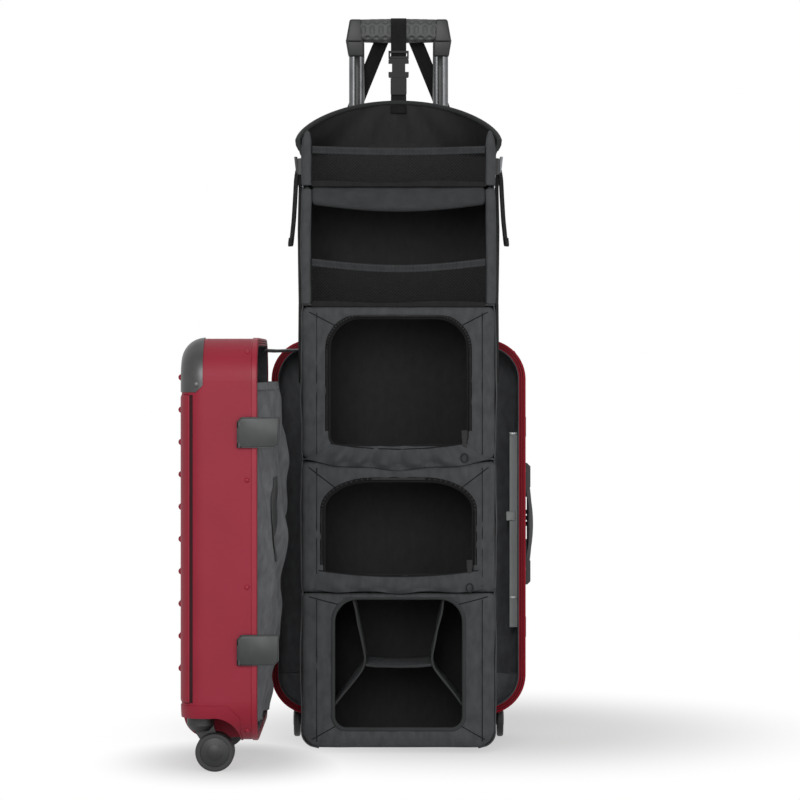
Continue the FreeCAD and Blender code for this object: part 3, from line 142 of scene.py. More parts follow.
shell_red = moulded("shell_polycarbonate_red", "#8B1A2D", "#911E33", 0.52, 1.1, 0.025, IOR=1.36)
# Painted shade: near-black red for the flat strip beside each raised back edge; the rims' dark seal lines use
# it too.
shade_strip_and_seal_red = moulded("painted_shade_and_seal_dark_red", "#240107", "#2E020A", 0.85, 1.1, 0.02, IOR=1.40)
rim_deep = moulded("rim_moulding_deep_red", "#860016", "#92021C", 0.42, 0.9, 0.02, IOR=1.22)
clip_black = moulded("clip_nylon_black", "#0C0C0D", "#141415", 0.55, 0.8, 0.05, IOR=1.35)
rim_red = moulded("rim_moulding_red", "#8C1229", "#961830", 0.42, 0.9, 0.02, IOR=1.40)
black_nylon = moulded("moulded_nylon_black", "#161617", "#1E1E1F", 0.5, 0.8, 0.05, IOR=1.53)
cap_nylon = moulded("moulded_nylon_grip_cap", "#1C1D1E", "#252627", 0.42, 0.8, 0.04, IOR=1.42)
# Painted shade: near-black for the flat strip laid in the groove of each handle tube.
tube_groove_shade = moulded("tube_channel_black", "#1A1B1B", "#222323", 0.45, 0.8, 0.03, IOR=1.5)
dark_nylon = moulded("moulded_nylon_dark_grey", "#232425", "#2C2D2E", 0.46, 0.8, 0.04, IOR=1.53)
rail_plastic = moulded("rail_moulding_grey", "#8F9091", "#9D9E9F", 0.48, 0.9, 0.03, IOR=1.5)
wheel_rubber = moulded("wheel_polyurethane_black", "#131314", "#1B1B1C", 0.5, 0.7, 0.05, IOR=1.5)
wheel_cap = moulded("wheel_cap_dark_grey", "#1C1D1E", "#252627", 0.45, 0.8, 0.03, IOR=1.45)

# %% [markdown]
# ## Metals
# The corner guards and latches are cast and painted gunmetal; the handle tubes are drawn aluminium, dark
# anodised. Drawing leaves fine lines along the tube, so that noise is stretched along Z.

# %% Metal finishes
METAL_CLOUD_MM = 25.0


def metal(name, dark, light, rough, line_mm, stretch, depth_mm):
    finish, tree, shader = start_finish(name, Metallic=1.0, Roughness=rough)
    place = add(tree, "TexCoord").outputs["Object"]
    mottle(tree, shader, place, dark, light, METAL_CLOUD_MM)
    spread = add(tree, "Mapping", {"Vector": place, "Scale": stretch})
    lines = add(tree, "TexNoise", {"Vector": spread, "Scale": 1 / (line_mm * MM), "Detail": 3.0})
    emboss(tree, shader, lines, depth_mm, 0.4)
    return finish


gunmetal = metal("gunmetal_painted_casting", "#4A4A4B", "#555556", 0.40, 1.0, (1, 1, 1), 0.03)
# Painted shade: near-black for the sloping bevel round each latch face.
latch_bevel_shade = metal("latch_bevel_painted_shade", "#1B1C1D", "#242526", 0.5, 1.0, (1, 1, 1), 0.02)
latch_metal = metal("latch_painted_zinc", "#414242", "#4A4B4B", 0.52, 1.0, (1, 1, 1), 0.03)
tube_metal = metal("anodised_tube_dark", "#58595A", "#6A6B6C", 0.36, 0.8, (1, 1, 0.02), 0.02)
steel = metal("steel_fastener", "#8A8A8B", "#9C9C9D", 0.4, 0.8, (1, 1, 1), 0.02)

# %% [markdown]
# ## Cloth, net and webbing
# The closet is plain-woven polyester. Its threads are about 0.4 mm apart, too fine for the picture, so the
# weave is drawn at 1.4 mm. Each cloth piece carries UVs in metres, so the threads follow the folds.

# %% Cloth finishes
WAVE_PERIOD = 0.31416
SLUB_MM = 9.0


def woven(name, dark, light, thread_mm, depth_mm, rough=0.85, sheen=0.2, ribs_only=False, ior=1.45):
    finish, tree, shader = start_finish(name, Roughness=rough, Sheen_Weight=sheen, Sheen_Roughness=0.5,
                                        Sheen_Tint=linear(light), IOR=ior)
    place = add(tree, "UVMap", uv_map="UVMap")
    mottle(tree, shader, place, dark, light, SLUB_MM, (1, 0.45, 1))
    threads = {"Vector": place, "Scale": WAVE_PERIOD / (thread_mm * MM), "Distortion": 0.6}
    height = add(tree, "TexWave", threads, bands_direction="X").outputs[1]
    if not ribs_only:
        weft = add(tree, "TexWave", threads, bands_direction="Y").outputs[1]
        height = add(tree, "Math", {0: height, 1: weft}, operation="MULTIPLY")
    emboss(tree, shader, height, depth_mm, 0.8)
    return finish


closet_cloth = woven("closet_polyester_grey", "#38393B", "#454749", 1.4, 0.25)
# The same closet cloth a little darker, for the posts and flaps: painted shade.
shaded_closet_cloth = woven("closet_polyester_painted_shade", "#353739", "#424446", 1.4, 0.25)
closet_inside = woven("closet_inside_black", "#131314", "#1B1B1C", 1.4, 0.2)
lining_cloth = woven("lining_polyester_grey", "#545558", "#636568", 1.4, 0.2)
lining_light = woven("pocket_polyester_grey", "#58595B", "#6E6F71", 1.4, 0.2)
label_cloth = woven("label_satin_dark", "#2C2D2E", "#353637", 1.0, 0.08, rough=0.6)
stay_grey = moulded("moulded_nylon_light_grey", "#9DA2A5", "#AAAFB2", 0.5, 1.0, 0.02, IOR=1.5)
webbing = woven("webbing_black", "#0E0E0E", "#181818", 1.6, 0.35, sheen=0.1, ribs_only=True, ior=1.3)
binding = woven("binding_tape_black", "#141415", "#1E1E1F", 1.2, 0.25, ribs_only=True, ior=1.35)
hem_cloth = woven("hem_polyester_dark", "#27282A", "#323436", 1.4, 0.25)
net_thread = woven("net_thread_black", "#161616", "#202020", 1.2, 0.1)
zip_tape = woven("zip_tape_black", "#0F0F10", "#19191A", 1.8, 0.4, sheen=0.0, ribs_only=True, ior=1.25)
two_sided = [closet_cloth, closet_inside]
print("finishes so far", len(bpy.data.materials))

# %% [markdown]
# ## Finishes for the hard pieces
# A CAD node keeps its shape and only gets a finish. The soft nodes are replaced further down.

# %% Give each hard node its finish
HARD = {
    shell_red: "rear_shell lid_shell rear_wheel_housings lid_wheel_housings",
    rim_red: "lid_rim",
    rim_deep: "rear_rim",
    clip_black: "strap_buckle tier_3_slider tier_4_slider",
    gunmetal: "rear_corner_guards lid_corner_guards rear_hinge_leaf lid_hinge_leaf hinge_pin strike_plates",
    latch_metal: "latch_lower latch_upper latch_lugs",
    tube_metal: "outer_tubes middle_tubes upper_tubes",
    black_nylon: "handle_bezel tube_foot_bracket carry_handle_ends lock_body "
                 "rear_fork_right rear_fork_left lid_fork_right lid_fork_left",
    dark_nylon: "middle_collars release_button carry_grip cam_buckles lock_dial_1 lock_dial_2 lock_dial_3",
    rail_plastic: "side_rail",
    wheel_rubber: "rear_wheel_right rear_wheel_left lid_wheel_right lid_wheel_left",
}
for finish, names in HARD.items():
    for name in names.split():
        nodes[name].data.materials.clear()
        nodes[name].data.materials.append(finish)
print("hard nodes finished", sum(len(names.split()) for names in HARD.values()))

# %% [markdown]
# ## Rubber grip
# The pull handle's sleeve is soft matt rubber. Its dimples are modelled later, so the finish only adds the
# pebbled skin of the mould, a Voronoi pattern with 1.2 mm cells.

# %% Grip finish
PEBBLE_MM = 1.2
grip_rubber, tree, shader = start_finish("grip_rubber_matt", Roughness=0.52, IOR=1.5)
place = add(tree, "TexCoord").outputs["Object"]
mottle(tree, shader, place, "#333435", "#3F4041", 20.0)
cells = add(tree, "TexVoronoi", {"Vector": place, "Scale": 1 / (PEBBLE_MM * MM)}, feature="SMOOTH_F1")
emboss(tree, shader, cells, 0.1, 0.6)
print("grip pebbles", PEBBLE_MM, "mm")

# %% [markdown]
# ## Tools for pieces
# Sheets start as a flat grid whose vertices are then put where the cloth hangs, so the grid's own UVs give
# the weave its direction.

# %% Shape helpers
CLOSET_HALF = 133.0
CLOSET_FRONT = -138.0
CLOSET_BACK = -6.0
TIER_LOW = {"tier_1": 777.0, "tier_2": 611.0, "tier_3": 400.0, "tier_4": 220.0, "tier_5": 8.0}
LEAN_1, RISE_1 = 12.0, 73.0
LEAN_2, RISE_2 = 28.0, 166.0
SIDES = ((-1, "left"), (1, "right"))


def lean(z):
    """How far the closet leans back at a height, drawn up to the handle."""
    if z <= TIER_LOW["tier_2"]:
        return 0.0
    if z <= TIER_LOW["tier_1"]:
        return LEAN_2 * (z - TIER_LOW["tier_2"]) / RISE_2
    return LEAN_2 + LEAN_1 * (z - TIER_LOW["tier_1"]) / RISE_1


def crease(x, y, z, size, depth):
    """Repeatable soft noise, in millimetres."""
    return depth * noise.noise(Vector((x, y, z)) / size)


def swell(share):
    """Half a wave: 0 at both ends and 1 in the middle."""
    return sin(pi * share)


def run_of(points):
    """Length of a polyline."""
    return sum((Vector(b) - Vector(a)).length for a, b in zip(points, points[1:]))


def along(points, share):
    """Point at a share of a polyline's length."""
    steps = [(Vector(b) - Vector(a)).length for a, b in zip(points, points[1:])]
    rest = share * sum(steps)
    for index, step in enumerate(steps):
        if rest <= step or index == len(steps) - 1:
            return Vector(points[index]).lerp(Vector(points[index + 1]), min(rest / step, 1.0))
        rest -= step


def smoothed(points, share, blur):
    """Point at a share of a polyline, averaged with its neighbours, which rounds the bends."""
    near = [along(points, min(1.0, max(0.0, share + step * blur))) for step in (-1, -0.5, 0, 0.5, 1)]
    return sum(near, Vector((0, 0, 0))) / len(near)


# %% Piece helpers
PACKS = {
    "tier_1": ((0, LEAN_1, RISE_1), (0, 64.0, 777.0), 0.45),
    "tier_2": ((0, LEAN_2, RISE_2), (0, 48.0, 611.0), 0.45),
    "tier_3": ((0, 0, 1), (0, 0, 400.0), 0.45),
    "tier_4": ((0, 0, 1), (0, 0, 220.0), 0.435),
    "tier_5": ((0, 0, 1), (0, 0, 64.8), 0.235),
}
SMOOTH_ANGLE = radians(40)


def settle(obj, finishes, body, thick=0.0, crumples=True):
    """Link a new object, give it its finishes, and let it ride on its body, if it has just one."""
    bpy.context.scene.collection.objects.link(obj)
    for finish in finishes:
        obj.data.materials.append(finish)
    obj.data.shade_smooth()
    obj.data.set_sharp_from_angle(angle=SMOOTH_ANGLE)
    if thick:
        skin = obj.modifiers.new("thickness", "SOLIDIFY")
        skin.thickness = thick * MM
        skin.offset = 0.0
        skin.material_offset = len(finishes) - 1
    if body:
        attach(obj, body)
    if body in PACKS and crumples:
        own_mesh(obj)
    return obj


def from_bmesh(name, bm):
    """A new object with a bmesh's shape."""
    mesh = bpy.data.meshes.new(name)
    bm.to_mesh(mesh)
    bm.free()
    return bpy.data.objects.new(name, mesh)


def cloth(name, columns, rows, place, flat, finishes, body, thick=1.6, away=None, ring=False):
    """A grid of cloth: place(u, v) gives each vertex in mm, and flat is the cut's size in mm.

    away is a point behind it, and ring sews two edges of the grid together.
    """
    bm = bmesh.new()
    uv = bm.loops.layers.uv.new("UVMap")
    bmesh.ops.create_grid(bm, x_segments=columns, y_segments=rows, size=0.5, calc_uvs=True)
    for vert in bm.verts:
        vert.co = Vector(place(vert.co.x + 0.5, vert.co.y + 0.5)) * MM
    for face in bm.faces:
        for loop in face.loops:
            loop[uv].uv = loop[uv].uv.x * flat[0] * MM, loop[uv].uv.y * flat[1] * MM
    if ring:
        bmesh.ops.remove_doubles(bm, verts=bm.verts, dist=0.02 * MM)
    bm.normal_update()
    if away is not None:
        behind = Vector(away) * MM
        if sum(f.normal.dot(f.calc_center_median() - behind) * f.calc_area() for f in bm.faces) < 0:
            bmesh.ops.reverse_faces(bm, faces=bm.faces)
    piece = settle(from_bmesh(name, bm), finishes, body, thick)
    return piece


# %% Solid and line helpers
def solid(name, bm, finishes, body, crumples=True):
    """A closed piece from a bmesh that is already in place, in millimetres."""
    bmesh.ops.recalc_face_normals(bm, faces=bm.faces)
    bmesh.ops.scale(bm, vec=(MM, MM, MM), verts=bm.verts)
    return settle(from_bmesh(name, bm), finishes, body, crumples=crumples)


def bevelled(bm, verts, offset, segments):
    """Round every edge of a block that has these vertices."""
    edges = dict.fromkeys(edge for vert in verts for edge in vert.link_edges)
    bmesh.ops.bevel(bm, geom=list(edges), offset=offset, segments=segments, profile=0.5, affect="EDGES",
                    material=-1)


def cord_line(name, points, radius, finish, body, closed=False):
    """Sewn-in piping: a round line through points, made a mesh."""
    curve = bpy.data.curves.new(name, "CURVE")
    curve.dimensions = "3D"
    curve.bevel_depth = radius * MM
    curve.bevel_resolution = 2
    curve.use_fill_caps = True
    spline = curve.splines.new("POLY")
    spline.points.add(len(points) - 1)
    for target, point in zip(spline.points, points):
        target.co = [c * MM for c in point] + [1.0]
    spline.use_cyclic_u = closed
    maker = bpy.data.objects.new(name + "_line", curve)
    mesh = bpy.data.meshes.new_from_object(maker)
    bpy.data.objects.remove(maker)
    mesh.name = name
    return settle(bpy.data.objects.new(name, mesh), [finish], body)


def beads(name, places, size, finish, body):
    """Many small blocks at (place, direction) pairs: stitches and zip teeth."""
    bm = bmesh.new()
    for place, direction in places:
        turn = Vector(direction).to_track_quat("X", "Z").to_matrix().to_4x4()
        shape = Matrix.Translation(Vector(place)) @ turn @ Matrix.Diagonal((*size, 1.0))
        bmesh.ops.create_cube(bm, size=1.0, matrix=shape)
    return solid(name, bm, [finish], body)


piping = moulded("piping_cord_black", "#101011", "#1A1A1B", 0.8, 1.4, 0.15, IOR=1.3)
thread = moulded("sewing_thread_grey", "#3B3C3D", "#484949", 0.8, 0.8, 0.1, IOR=1.35)
binding_roll = moulded("binding_tape_rolled", "#1B1C1D", "#262728", 0.85, 1.3, 0.25, IOR=1.45)

# %% [markdown]
# ## Camera, floor and light
# The picture is taken level, from about four and a half metres, with a long lens; its horizon sits a little
# above the middle, so the lens is shifted instead of tilting the camera. The pale floor glows only for
# what shows the background, more so away from the case and the lid, so it fades into white and still takes
# their shadow. Near them it glows less even where no shadow falls, which is a painted shadow over the real
# one.

# %% Camera
PHOTO_PX = 800
FOCAL_PX = 3215.0
HORIZON_PX = 363.0
SENSOR_MM = 36.0
scene = bpy.context.scene
camera = bpy.data.objects.new("camera", bpy.data.cameras.new("camera"))
scene.collection.objects.link(camera)
camera.data.sensor_width = SENSOR_MM
camera.data.lens = SENSOR_MM * FOCAL_PX / PHOTO_PX
camera.data.shift_y = (HORIZON_PX - PHOTO_PX / 2) / PHOTO_PX
camera.location = (0.002, -4.53, 0.534)
camera.rotation_euler = (pi / 2, 0, 0)
scene.camera = camera
scene.view_settings.view_transform = "Standard"
print("lens", round(camera.data.lens, 1), "mm")

# %% Floor and world
PAINTED_SHADOW_SPOTS = (((0.12, 0.15), (0.45, 0.50)), ((-0.22, -0.20), (0.16, 0.26)))
FLOOR_RADIUS = 40.0
SKY_LEVEL = 0.38
WHITE = (1, 1, 1, 1)


def background_rays(tree):
    """Value that is 1 for the rays that show the white background."""
    seen = add(tree, "LightPath").outputs
    bright = add(tree, "Math", {0: seen["Is Camera Ray"], 1: seen["Is Glossy Ray"]}, operation="MAXIMUM")
    return add(tree, "Math", {0: bright, 1: seen["Is Transmission Ray"]}, operation="MAXIMUM")


floor_paint = bpy.data.materials.new("floor_matt_white")
tree = empty_tree(floor_paint)
place = add(tree, "TexCoord").outputs["Object"]
reaches = {}
for index, ((x, y), (wide, deep)) in enumerate(PAINTED_SHADOW_SPOTS):
    spot = add(tree, "Mapping", {"Vector": place, "Scale": (1 / wide, 1 / deep, 1),
                                 "Location": (-x / wide, -y / deep, 0)})
    reaches[index] = add(tree, "VectorMath", {0: spot}, operation="LENGTH").outputs["Value"]
nearest = add(tree, "Math", reaches, operation="MINIMUM")
# Less glow near the spots leaves the floor greyer there, lit or not: a painted shadow over the real one.
fade = add(tree, "MapRange", {"Value": nearest, "From Min": 0.3, "From Max": 1.25, "To Min": 0.5,
                              "To Max": 1.0}, interpolation_type="SMOOTHSTEP")
share = add(tree, "Math", {0: fade, 1: background_rays(tree)}, operation="MULTIPLY")
dull = add(tree, "BsdfDiffuse", {"Color": (0.62, 0.62, 0.62, 1)})
glow = add(tree, "Emission", {"Color": WHITE, "Strength": 1.0})
both = add(tree, "MixShader", {0: share, 1: dull, 2: glow})
add(tree, "OutputMaterial", {"Surface": both})
bm = bmesh.new()
bmesh.ops.create_circle(bm, cap_ends=True, segments=64, radius=FLOOR_RADIUS)
floor = from_bmesh("floor", bm)
floor.data.materials.append(floor_paint)
scene.collection.objects.link(floor)

scene.world = bpy.data.worlds.new("studio")
tree = empty_tree(scene.world)
level = add(tree, "MapRange", {"Value": background_rays(tree), "To Min": SKY_LEVEL, "To Max": 1.0})
sky = add(tree, "Background", {"Color": WHITE, "Strength": level})
add(tree, "OutputWorld", {"Surface": sky})
print("floor", FLOOR_RADIUS, "m, sky", SKY_LEVEL)

# %% Lamps
def lamp(name, place, target, size, watts):
    light = bpy.data.lights.new(name, "AREA")
    light.shape = "DISK"
    light.size = size
    light.energy = watts
    obj = bpy.data.objects.new(name, light)
    obj.location = place
    obj.rotation_euler = (Vector(target) - Vector(place)).to_track_quat("-Z", "Y").to_euler()
    scene.collection.objects.link(obj)


lamp("key_soft", (-0.6, -3.9, 1.7), (0, 0, 0.5), 2.2, 70)
lamp("fill_soft", (2.0, -3.4, 0.9), (0, 0, 0.4), 2.2, 26)
lamp("top_soft", (0.0, 0.6, 3.2), (0, 0, 0.5), 2.0, 4)
print("lamps", len(bpy.data.lights))

# %% [markdown]
# ## Walls and shelves of the closet
# Each tier is a sewn box. Its two sides and its back are one strip of cloth round three sides, grey outside
# and black inside, so one grid bent round a U does it. Stiff board in the cloth keeps it nearly flat: it
# bellies a little between the seams and is drawn in where the tiers are sewn together.

# %% Walls and shelves
TIER_HIGH = {"tier_1": 845.0, "tier_2": 777.4, "tier_3": 611.4, "tier_4": 400.4, "tier_5": 220.4}
BACK_ROUND = 14.0
BELLY = 1.6
SEAM_DRAW = 1.2
SEAM_SHARE = 0.07
FOOT_ROUND = 22.0
SHELF_GAP = 1.5
SHELF_LIFT = 2.6
CLOSET_MIDDLE = (CLOSET_FRONT + CLOSET_BACK) / 2


def arc_points(x, y, radius, start, end, count=6):
    """Points of an arc in plan, by angles in degrees."""
    angles = [radians(start + (end - start) * i / (count - 1)) for i in range(count)]
    return [(x + radius * cos(a), y + radius * sin(a), 0) for a in angles]


wall_half = CLOSET_HALF - 1.2
wall_front = CLOSET_FRONT + 3.0
wall_back = CLOSET_BACK - 1.2
turn_x, turn_y = wall_half - BACK_ROUND, wall_back - BACK_ROUND
WALL_PATH = (
    [(-wall_half, wall_front, 0)]
    + arc_points(-turn_x, turn_y, BACK_ROUND, 180, 90)
    + arc_points(turn_x, turn_y, BACK_ROUND, 90, 0)
    + [(wall_half, wall_front, 0)]
)
WALL_RUN = run_of(WALL_PATH)


def drawn_in(share):
    """How far cloth is drawn in near the two seams at its ends."""
    near = min(share, 1 - share) / SEAM_SHARE
    return SEAM_DRAW * max(0.0, 1 - near) ** 2


def foot_draw(height):
    """How far the bottom tier's rounded foot draws in at a height above its floor."""
    return FOOT_ROUND - sqrt(max(0.0, FOOT_ROUND ** 2 - max(0.0, FOOT_ROUND - height) ** 2))


for tier, low in TIER_LOW.items():
    high = TIER_HIGH[tier]
    round_foot = tier == "tier_5"
    shelf_half = wall_half - (FOOT_ROUND if round_foot else SHELF_GAP)

    def wall(u, v):
        point = along(WALL_PATH, u)
        z = low + (high - low) * v
        out = BELLY * swell(v) - drawn_in(v) + crease(point.x, point.y, z, 42, 1.3)
        if round_foot:
            out -= foot_draw(z - low)
        x = point.x + out * (point.x / wall_half)
        return x, point.y + lean(z) + 0.4 * crease(point.x, z, point.y, 30, 1.2), z

    def shelf(u, v):
        x = shelf_half * (2 * u - 1)
        y = wall_front + (wall_back - SHELF_GAP - wall_front) * v
        sag = 1.2 * swell(u) * swell(v)
        return x, y + lean(low), low + SHELF_LIFT - sag + crease(x, y, low, 35, 0.6)

    rows = 72 if round_foot else 22
    centre = (0, CLOSET_MIDDLE + lean(low), (low + high) / 2)
    piece = cloth(tier + "_walls", 84, rows, wall, (WALL_RUN, high - low), two_sided, tier, thick=2.0,
                  away=centre)
    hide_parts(tier + "_body")
    cloth(tier + "_shelf", 30, 16, shelf, (2 * shelf_half, wall_back - wall_front), two_sided, tier,
          thick=2.4)
print("tier walls", len(TIER_LOW), "strip", round(WALL_RUN), "mm long")

# %% [markdown]
# ## Front panels with openings
# The three lower tiers have a front panel with a big opening. A panel is a ring of cloth between two rounded
# rectangles, the opening and the tier's outline, so both are cut into the same nine stretches and the grid
# runs from one to the other. The cloth crowns slightly and turns back round the tier's edge.

# %% Front panels
LOOP_SHARES = (0.10, 0.06, 0.18, 0.06, 0.20, 0.06, 0.18, 0.06, 0.10)
PANEL_TURN = 0.88
PANEL_CROWN = 2.6
PANEL_CUT = (900, 60)
MITRES = (("right", 0.37), ("left", 0.63), ("foot_right", 0.13), ("foot_left", 0.87))
DOORS = {
    "tier_3": {"seed": 0.0, "opening": (94.0, 422.0, 595.0, 13.0, 42.0),
               "outline": (132.0, 401.0, 610.0, 13.0, 8.0)},
    "tier_4": {"seed": 40.0, "opening": (101.0, 245.0, 372.0, 9.0, 38.0, 1.65),
               "outline": (132.0, 221.0, 399.0, 7.0, 6.0)},
    "tier_5": {"seed": 80.0, "opening": (89.0, 34.0, 213.0, 18.0, 33.0),
               "outline": (132.0, 9.0, 219.0, 24.0, 6.0)},
}


def rounded_loop(share, half, low, high, foot, head, broad=1.0):
    """Point (x, z) on a rounded rectangle, from the middle of its foot round by the right.

    foot and head are corner radii, and broad is how many times wider than tall the head's corners are.
    """
    wide = head * broad
    turns = ((half - foot, low + foot, foot, foot, -90), (half - wide, high - head, wide, head, 0),
             (wide - half, high - head, wide, head, 90), (foot - half, low + foot, foot, foot, 180))
    index = 0
    while index < len(LOOP_SHARES) - 1 and share > LOOP_SHARES[index]:
        share -= LOOP_SHARES[index]
        index += 1
    part = share / LOOP_SHARES[index]

    def on_turn(corner, degrees):
        x, z, across, up, start = turns[corner]
        angle = radians(start + degrees)
        return Vector((x + across * cos(angle), z + up * sin(angle)))

    if index % 2:
        return on_turn(index // 2, 90 * part)
    first = Vector((0, low)) if index == 0 else on_turn(index // 2 - 1, 90)
    last = Vector((0, low)) if index == len(LOOP_SHARES) - 1 else on_turn(index // 2, 0)
    return first.lerp(last, part)


def loop_area(half, low, high, foot, head, broad=1.0):
    """Area inside a rounded rectangle, in square mm."""
    return 2 * half * (high - low) - (2 - pi / 2) * (foot ** 2 + broad * head ** 2)


def panel_front(x, z, seed):
    """Height of the crumpled front cloth, in y."""
    return CLOSET_FRONT + crease(x, seed, z, 36, 2.6) + crease(x * 0.6, seed + 9, z, 16, 0.8)


fronts = {}
for tier, door in DOORS.items():

    def panel(u, v):
        inner = rounded_loop(u, *door["opening"])
        outer = rounded_loop(u, *door["outline"])
        x, z = inner.lerp(outer, v)
        crown = PANEL_CROWN * swell(min(v / PANEL_TURN, 1.0))
        turned_back = 7.0 * max(0.0, (v - PANEL_TURN) / (1 - PANEL_TURN)) ** 2
        rolled_in = 3.0 * max(0.0, 1 - v / 0.07) ** 2
        pucker = 0.9 * sin(u * pi * 46) * (1 - v) * max(0.0, cos(u * pi * 8)) ** 2
        return x, panel_front(x, z, door["seed"]) - crown + turned_back + rolled_in - pucker, z

    half, low, high = door["outline"][:3]
    area = loop_area(*door["outline"]) - loop_area(*door["opening"])
    piece = cloth(tier + "_front", 168, 16, panel, PANEL_CUT, two_sided, tier, thick=1.8,
                  away=(0, 0, (low + high) / 2), ring=True)
    for word, share in MITRES:
        line = [Vector(panel(share, 0.06 + 0.78 * i / 12)) - Vector((0, 1.1, 0)) for i in range(13)]
        if "foot" not in word or tier == "tier_5":
            cord_line(tier + "_mitre_" + word, line, 0.7, piping, tier)
    uv = piece.data.uv_layers["UVMap"].data
    for loop in piece.data.loops:
        spot = piece.data.vertices[loop.vertex_index].co
        uv[loop.index].uv = spot.x, spot.z
    fronts[tier] = piece, (2 * half * MM, (high - low) * MM), area * MM * MM
    print(tier, "front panel", round(area / 100), "square cm")

# %% [markdown]
# ## Piping, zips and seams
# The openings of the two middle tiers are edged with piping, with a zip beside it that runs up one side, over
# the top and down the other. Teeth are hundreds of copies of one small block. The bottom tier's opening only
# has a soft rolled hem. Seams show as rows of short stitches.

# %% Opening edges
TEETH_PITCH = 2.6
TAPE_WIDTH = 5.0
ZIP_START = 0.17
ZIP_SPAN = 1 - 2 * ZIP_START
EDGE_POINTS = 200
ZIP_POINTS = 90
hem_roll = moulded("rolled_hem_cloth_grey", "#2A2B2C", "#343637", 0.88, 1.5, 0.3, IOR=1.45)


def grown(door, out):
    """An opening's outline, moved out by a distance."""
    half, low, high, foot, head, *broad = door["opening"]
    return (half + out, low - out, high + out, foot + out, head + out, *broad)


for tier, door in DOORS.items():

    def edge(share, out, forward):
        x, z = rounded_loop(share, *grown(door, out))
        return x, panel_front(x, z, door["seed"]) - forward, z

    def tape(u, v):
        return edge(ZIP_START + ZIP_SPAN * u, 1.0 + TAPE_WIDTH * v, 2.2 + 0.6 * swell(v))

    ring = [edge(i / EDGE_POINTS, 0.6, 0.6) for i in range(EDGE_POINTS)]
    if tier == "tier_5":
        trim = cord_line(tier + "_hem", ring, 3.0, hem_roll, tier, closed=True)
    else:
        cord_line(tier + "_piping", ring, 1.7, piping, tier, closed=True)
        run = run_of([edge(ZIP_START + ZIP_SPAN * i / ZIP_POINTS, 4, 0) for i in range(ZIP_POINTS + 1)])
        trim = cloth(tier + "_zip_tape", 110, 4, tape, (run, TAPE_WIDTH), [zip_tape], tier, thick=0.8,
                     away=(0, 0, 300))
        teeth = int(run / TEETH_PITCH)
        places = []
        for i in range(teeth):
            share = ZIP_START + ZIP_SPAN * (i + 0.5) / teeth
            here = Vector(edge(share, 3.8, 3.4))
            places.append((here, Vector(edge(share + 0.001, 3.8, 3.4)) - here))
        beads(tier + "_zip_teeth", places, (1.4, 1.2, 2.6), clip_black, tier)
        print(tier, "zip", round(run), "mm,", teeth, "teeth")
    front, flat, area = fronts[tier]

# %% Seams of the front panels
STITCH = (2.4, 0.8, 0.7)
STITCH_PITCH = 5.0
STITCH_LIFT = 3.5
SEAM_X = 113.0


def stitch_row(name, start, end, seed, tier):
    """Stitches between two (x, z) points of a front panel."""
    start, end = Vector(start), Vector(end)
    count = max(2, int((end - start).length / STITCH_PITCH))
    direction = (end - start).normalized()
    places = []
    for i in range(count):
        x, z = start.lerp(end, (i + 0.5) / count)
        places.append(((x, panel_front(x, z, seed) - STITCH_LIFT, z), (direction.x, 0, direction.y)))
    beads(name, places, STITCH, thread, tier)


for tier, door in DOORS.items():
    half, low, high = door["outline"][:3]
    levels = [low + 8 + (high - low - 16) * i / 30 for i in range(31)]
    for side, word in SIDES:
        x = side * SEAM_X
        seam = [(x + 1.4, panel_front(x, z, door["seed"]) - 3.0, z) for z in levels]
        cord_line(tier + "_side_seam_" + word, seam, 0.7, piping, tier)
        stitch_row(tier + "_side_stitches_" + word, (x, low + 10), (x, high - 10), door["seed"], tier)
print("side seams", 2 * len(DOORS))

# %% [markdown]
# ## Gathered flaps
# The door flap of each zipped tier is let down and gathered along the foot of its opening. It is a narrow
# sheet, sewn flat along its lower edge and slack above, so upright folds of uneven width run up from the
# seam.

# %% Flaps
FLAPS = {
    "tier_3": {"left": -99.0, "right": 97.0, "spread": 0.29, "top": 426.0, "foot": 401.0, "sag": 10.0,
               "drop": 12.0, "fold": 9.5, "folds": 7, "cut": (240.0, 31.0)},
    "tier_4": {"left": -122.0, "right": 122.0, "spread": 0.03, "top": 254.0, "foot": 224.0, "sag": 12.0,
               "drop": 3.0, "fold": 4.4, "folds": 6, "cut": (252.0, 28.0)},
}
for tier, flap in FLAPS.items():
    wide = flap["right"] - flap["left"]
    tall = flap["top"] - flap["foot"]

    def gathered(u, v):
        x = (flap["left"] + wide * u) * (1 + flap["spread"] * (1 - v))
        low = flap["foot"] - flap["drop"] * swell(u)
        high = flap["top"] - flap["sag"] * swell(u) ** 0.7
        z = low + (high - low) * v + 1.5 * (1 - v) * cos(6 * pi * u)
        ends = min(1.0, 7 * u, 7 * (1 - u)) ** 0.6
        phase = 2 * pi * flap["folds"] * u + 2.4 * sin(5 * u)
        fold = flap["fold"] * sin(phase) * swell(u) * (1.15 - v) * min(1.0, v * 4)
        bulge = 6.5 * swell(min(1.0, 0.12 + 0.8 * v)) * ends
        return x, CLOSET_FRONT + 0.6 - 3.0 * ends - bulge - fold + crease(x, v * 20, z, 14, 0.7), z

    piece = cloth(tier + "_flap", 110, 18, gathered, (wide, tall), [shaded_closet_cloth], tier,
                  away=(0, 0, flap["foot"]))
    cord_line(tier + "_flap_edge", [gathered(i / 60, 1.0) for i in range(61)], 1.3, piping, tier)
    print(tier, "flap", round(wide), "x", round(tall), "mm")

# %% [markdown]
# ## Zip pulls
# A wire ring hangs at each slider's foot and rides with it.

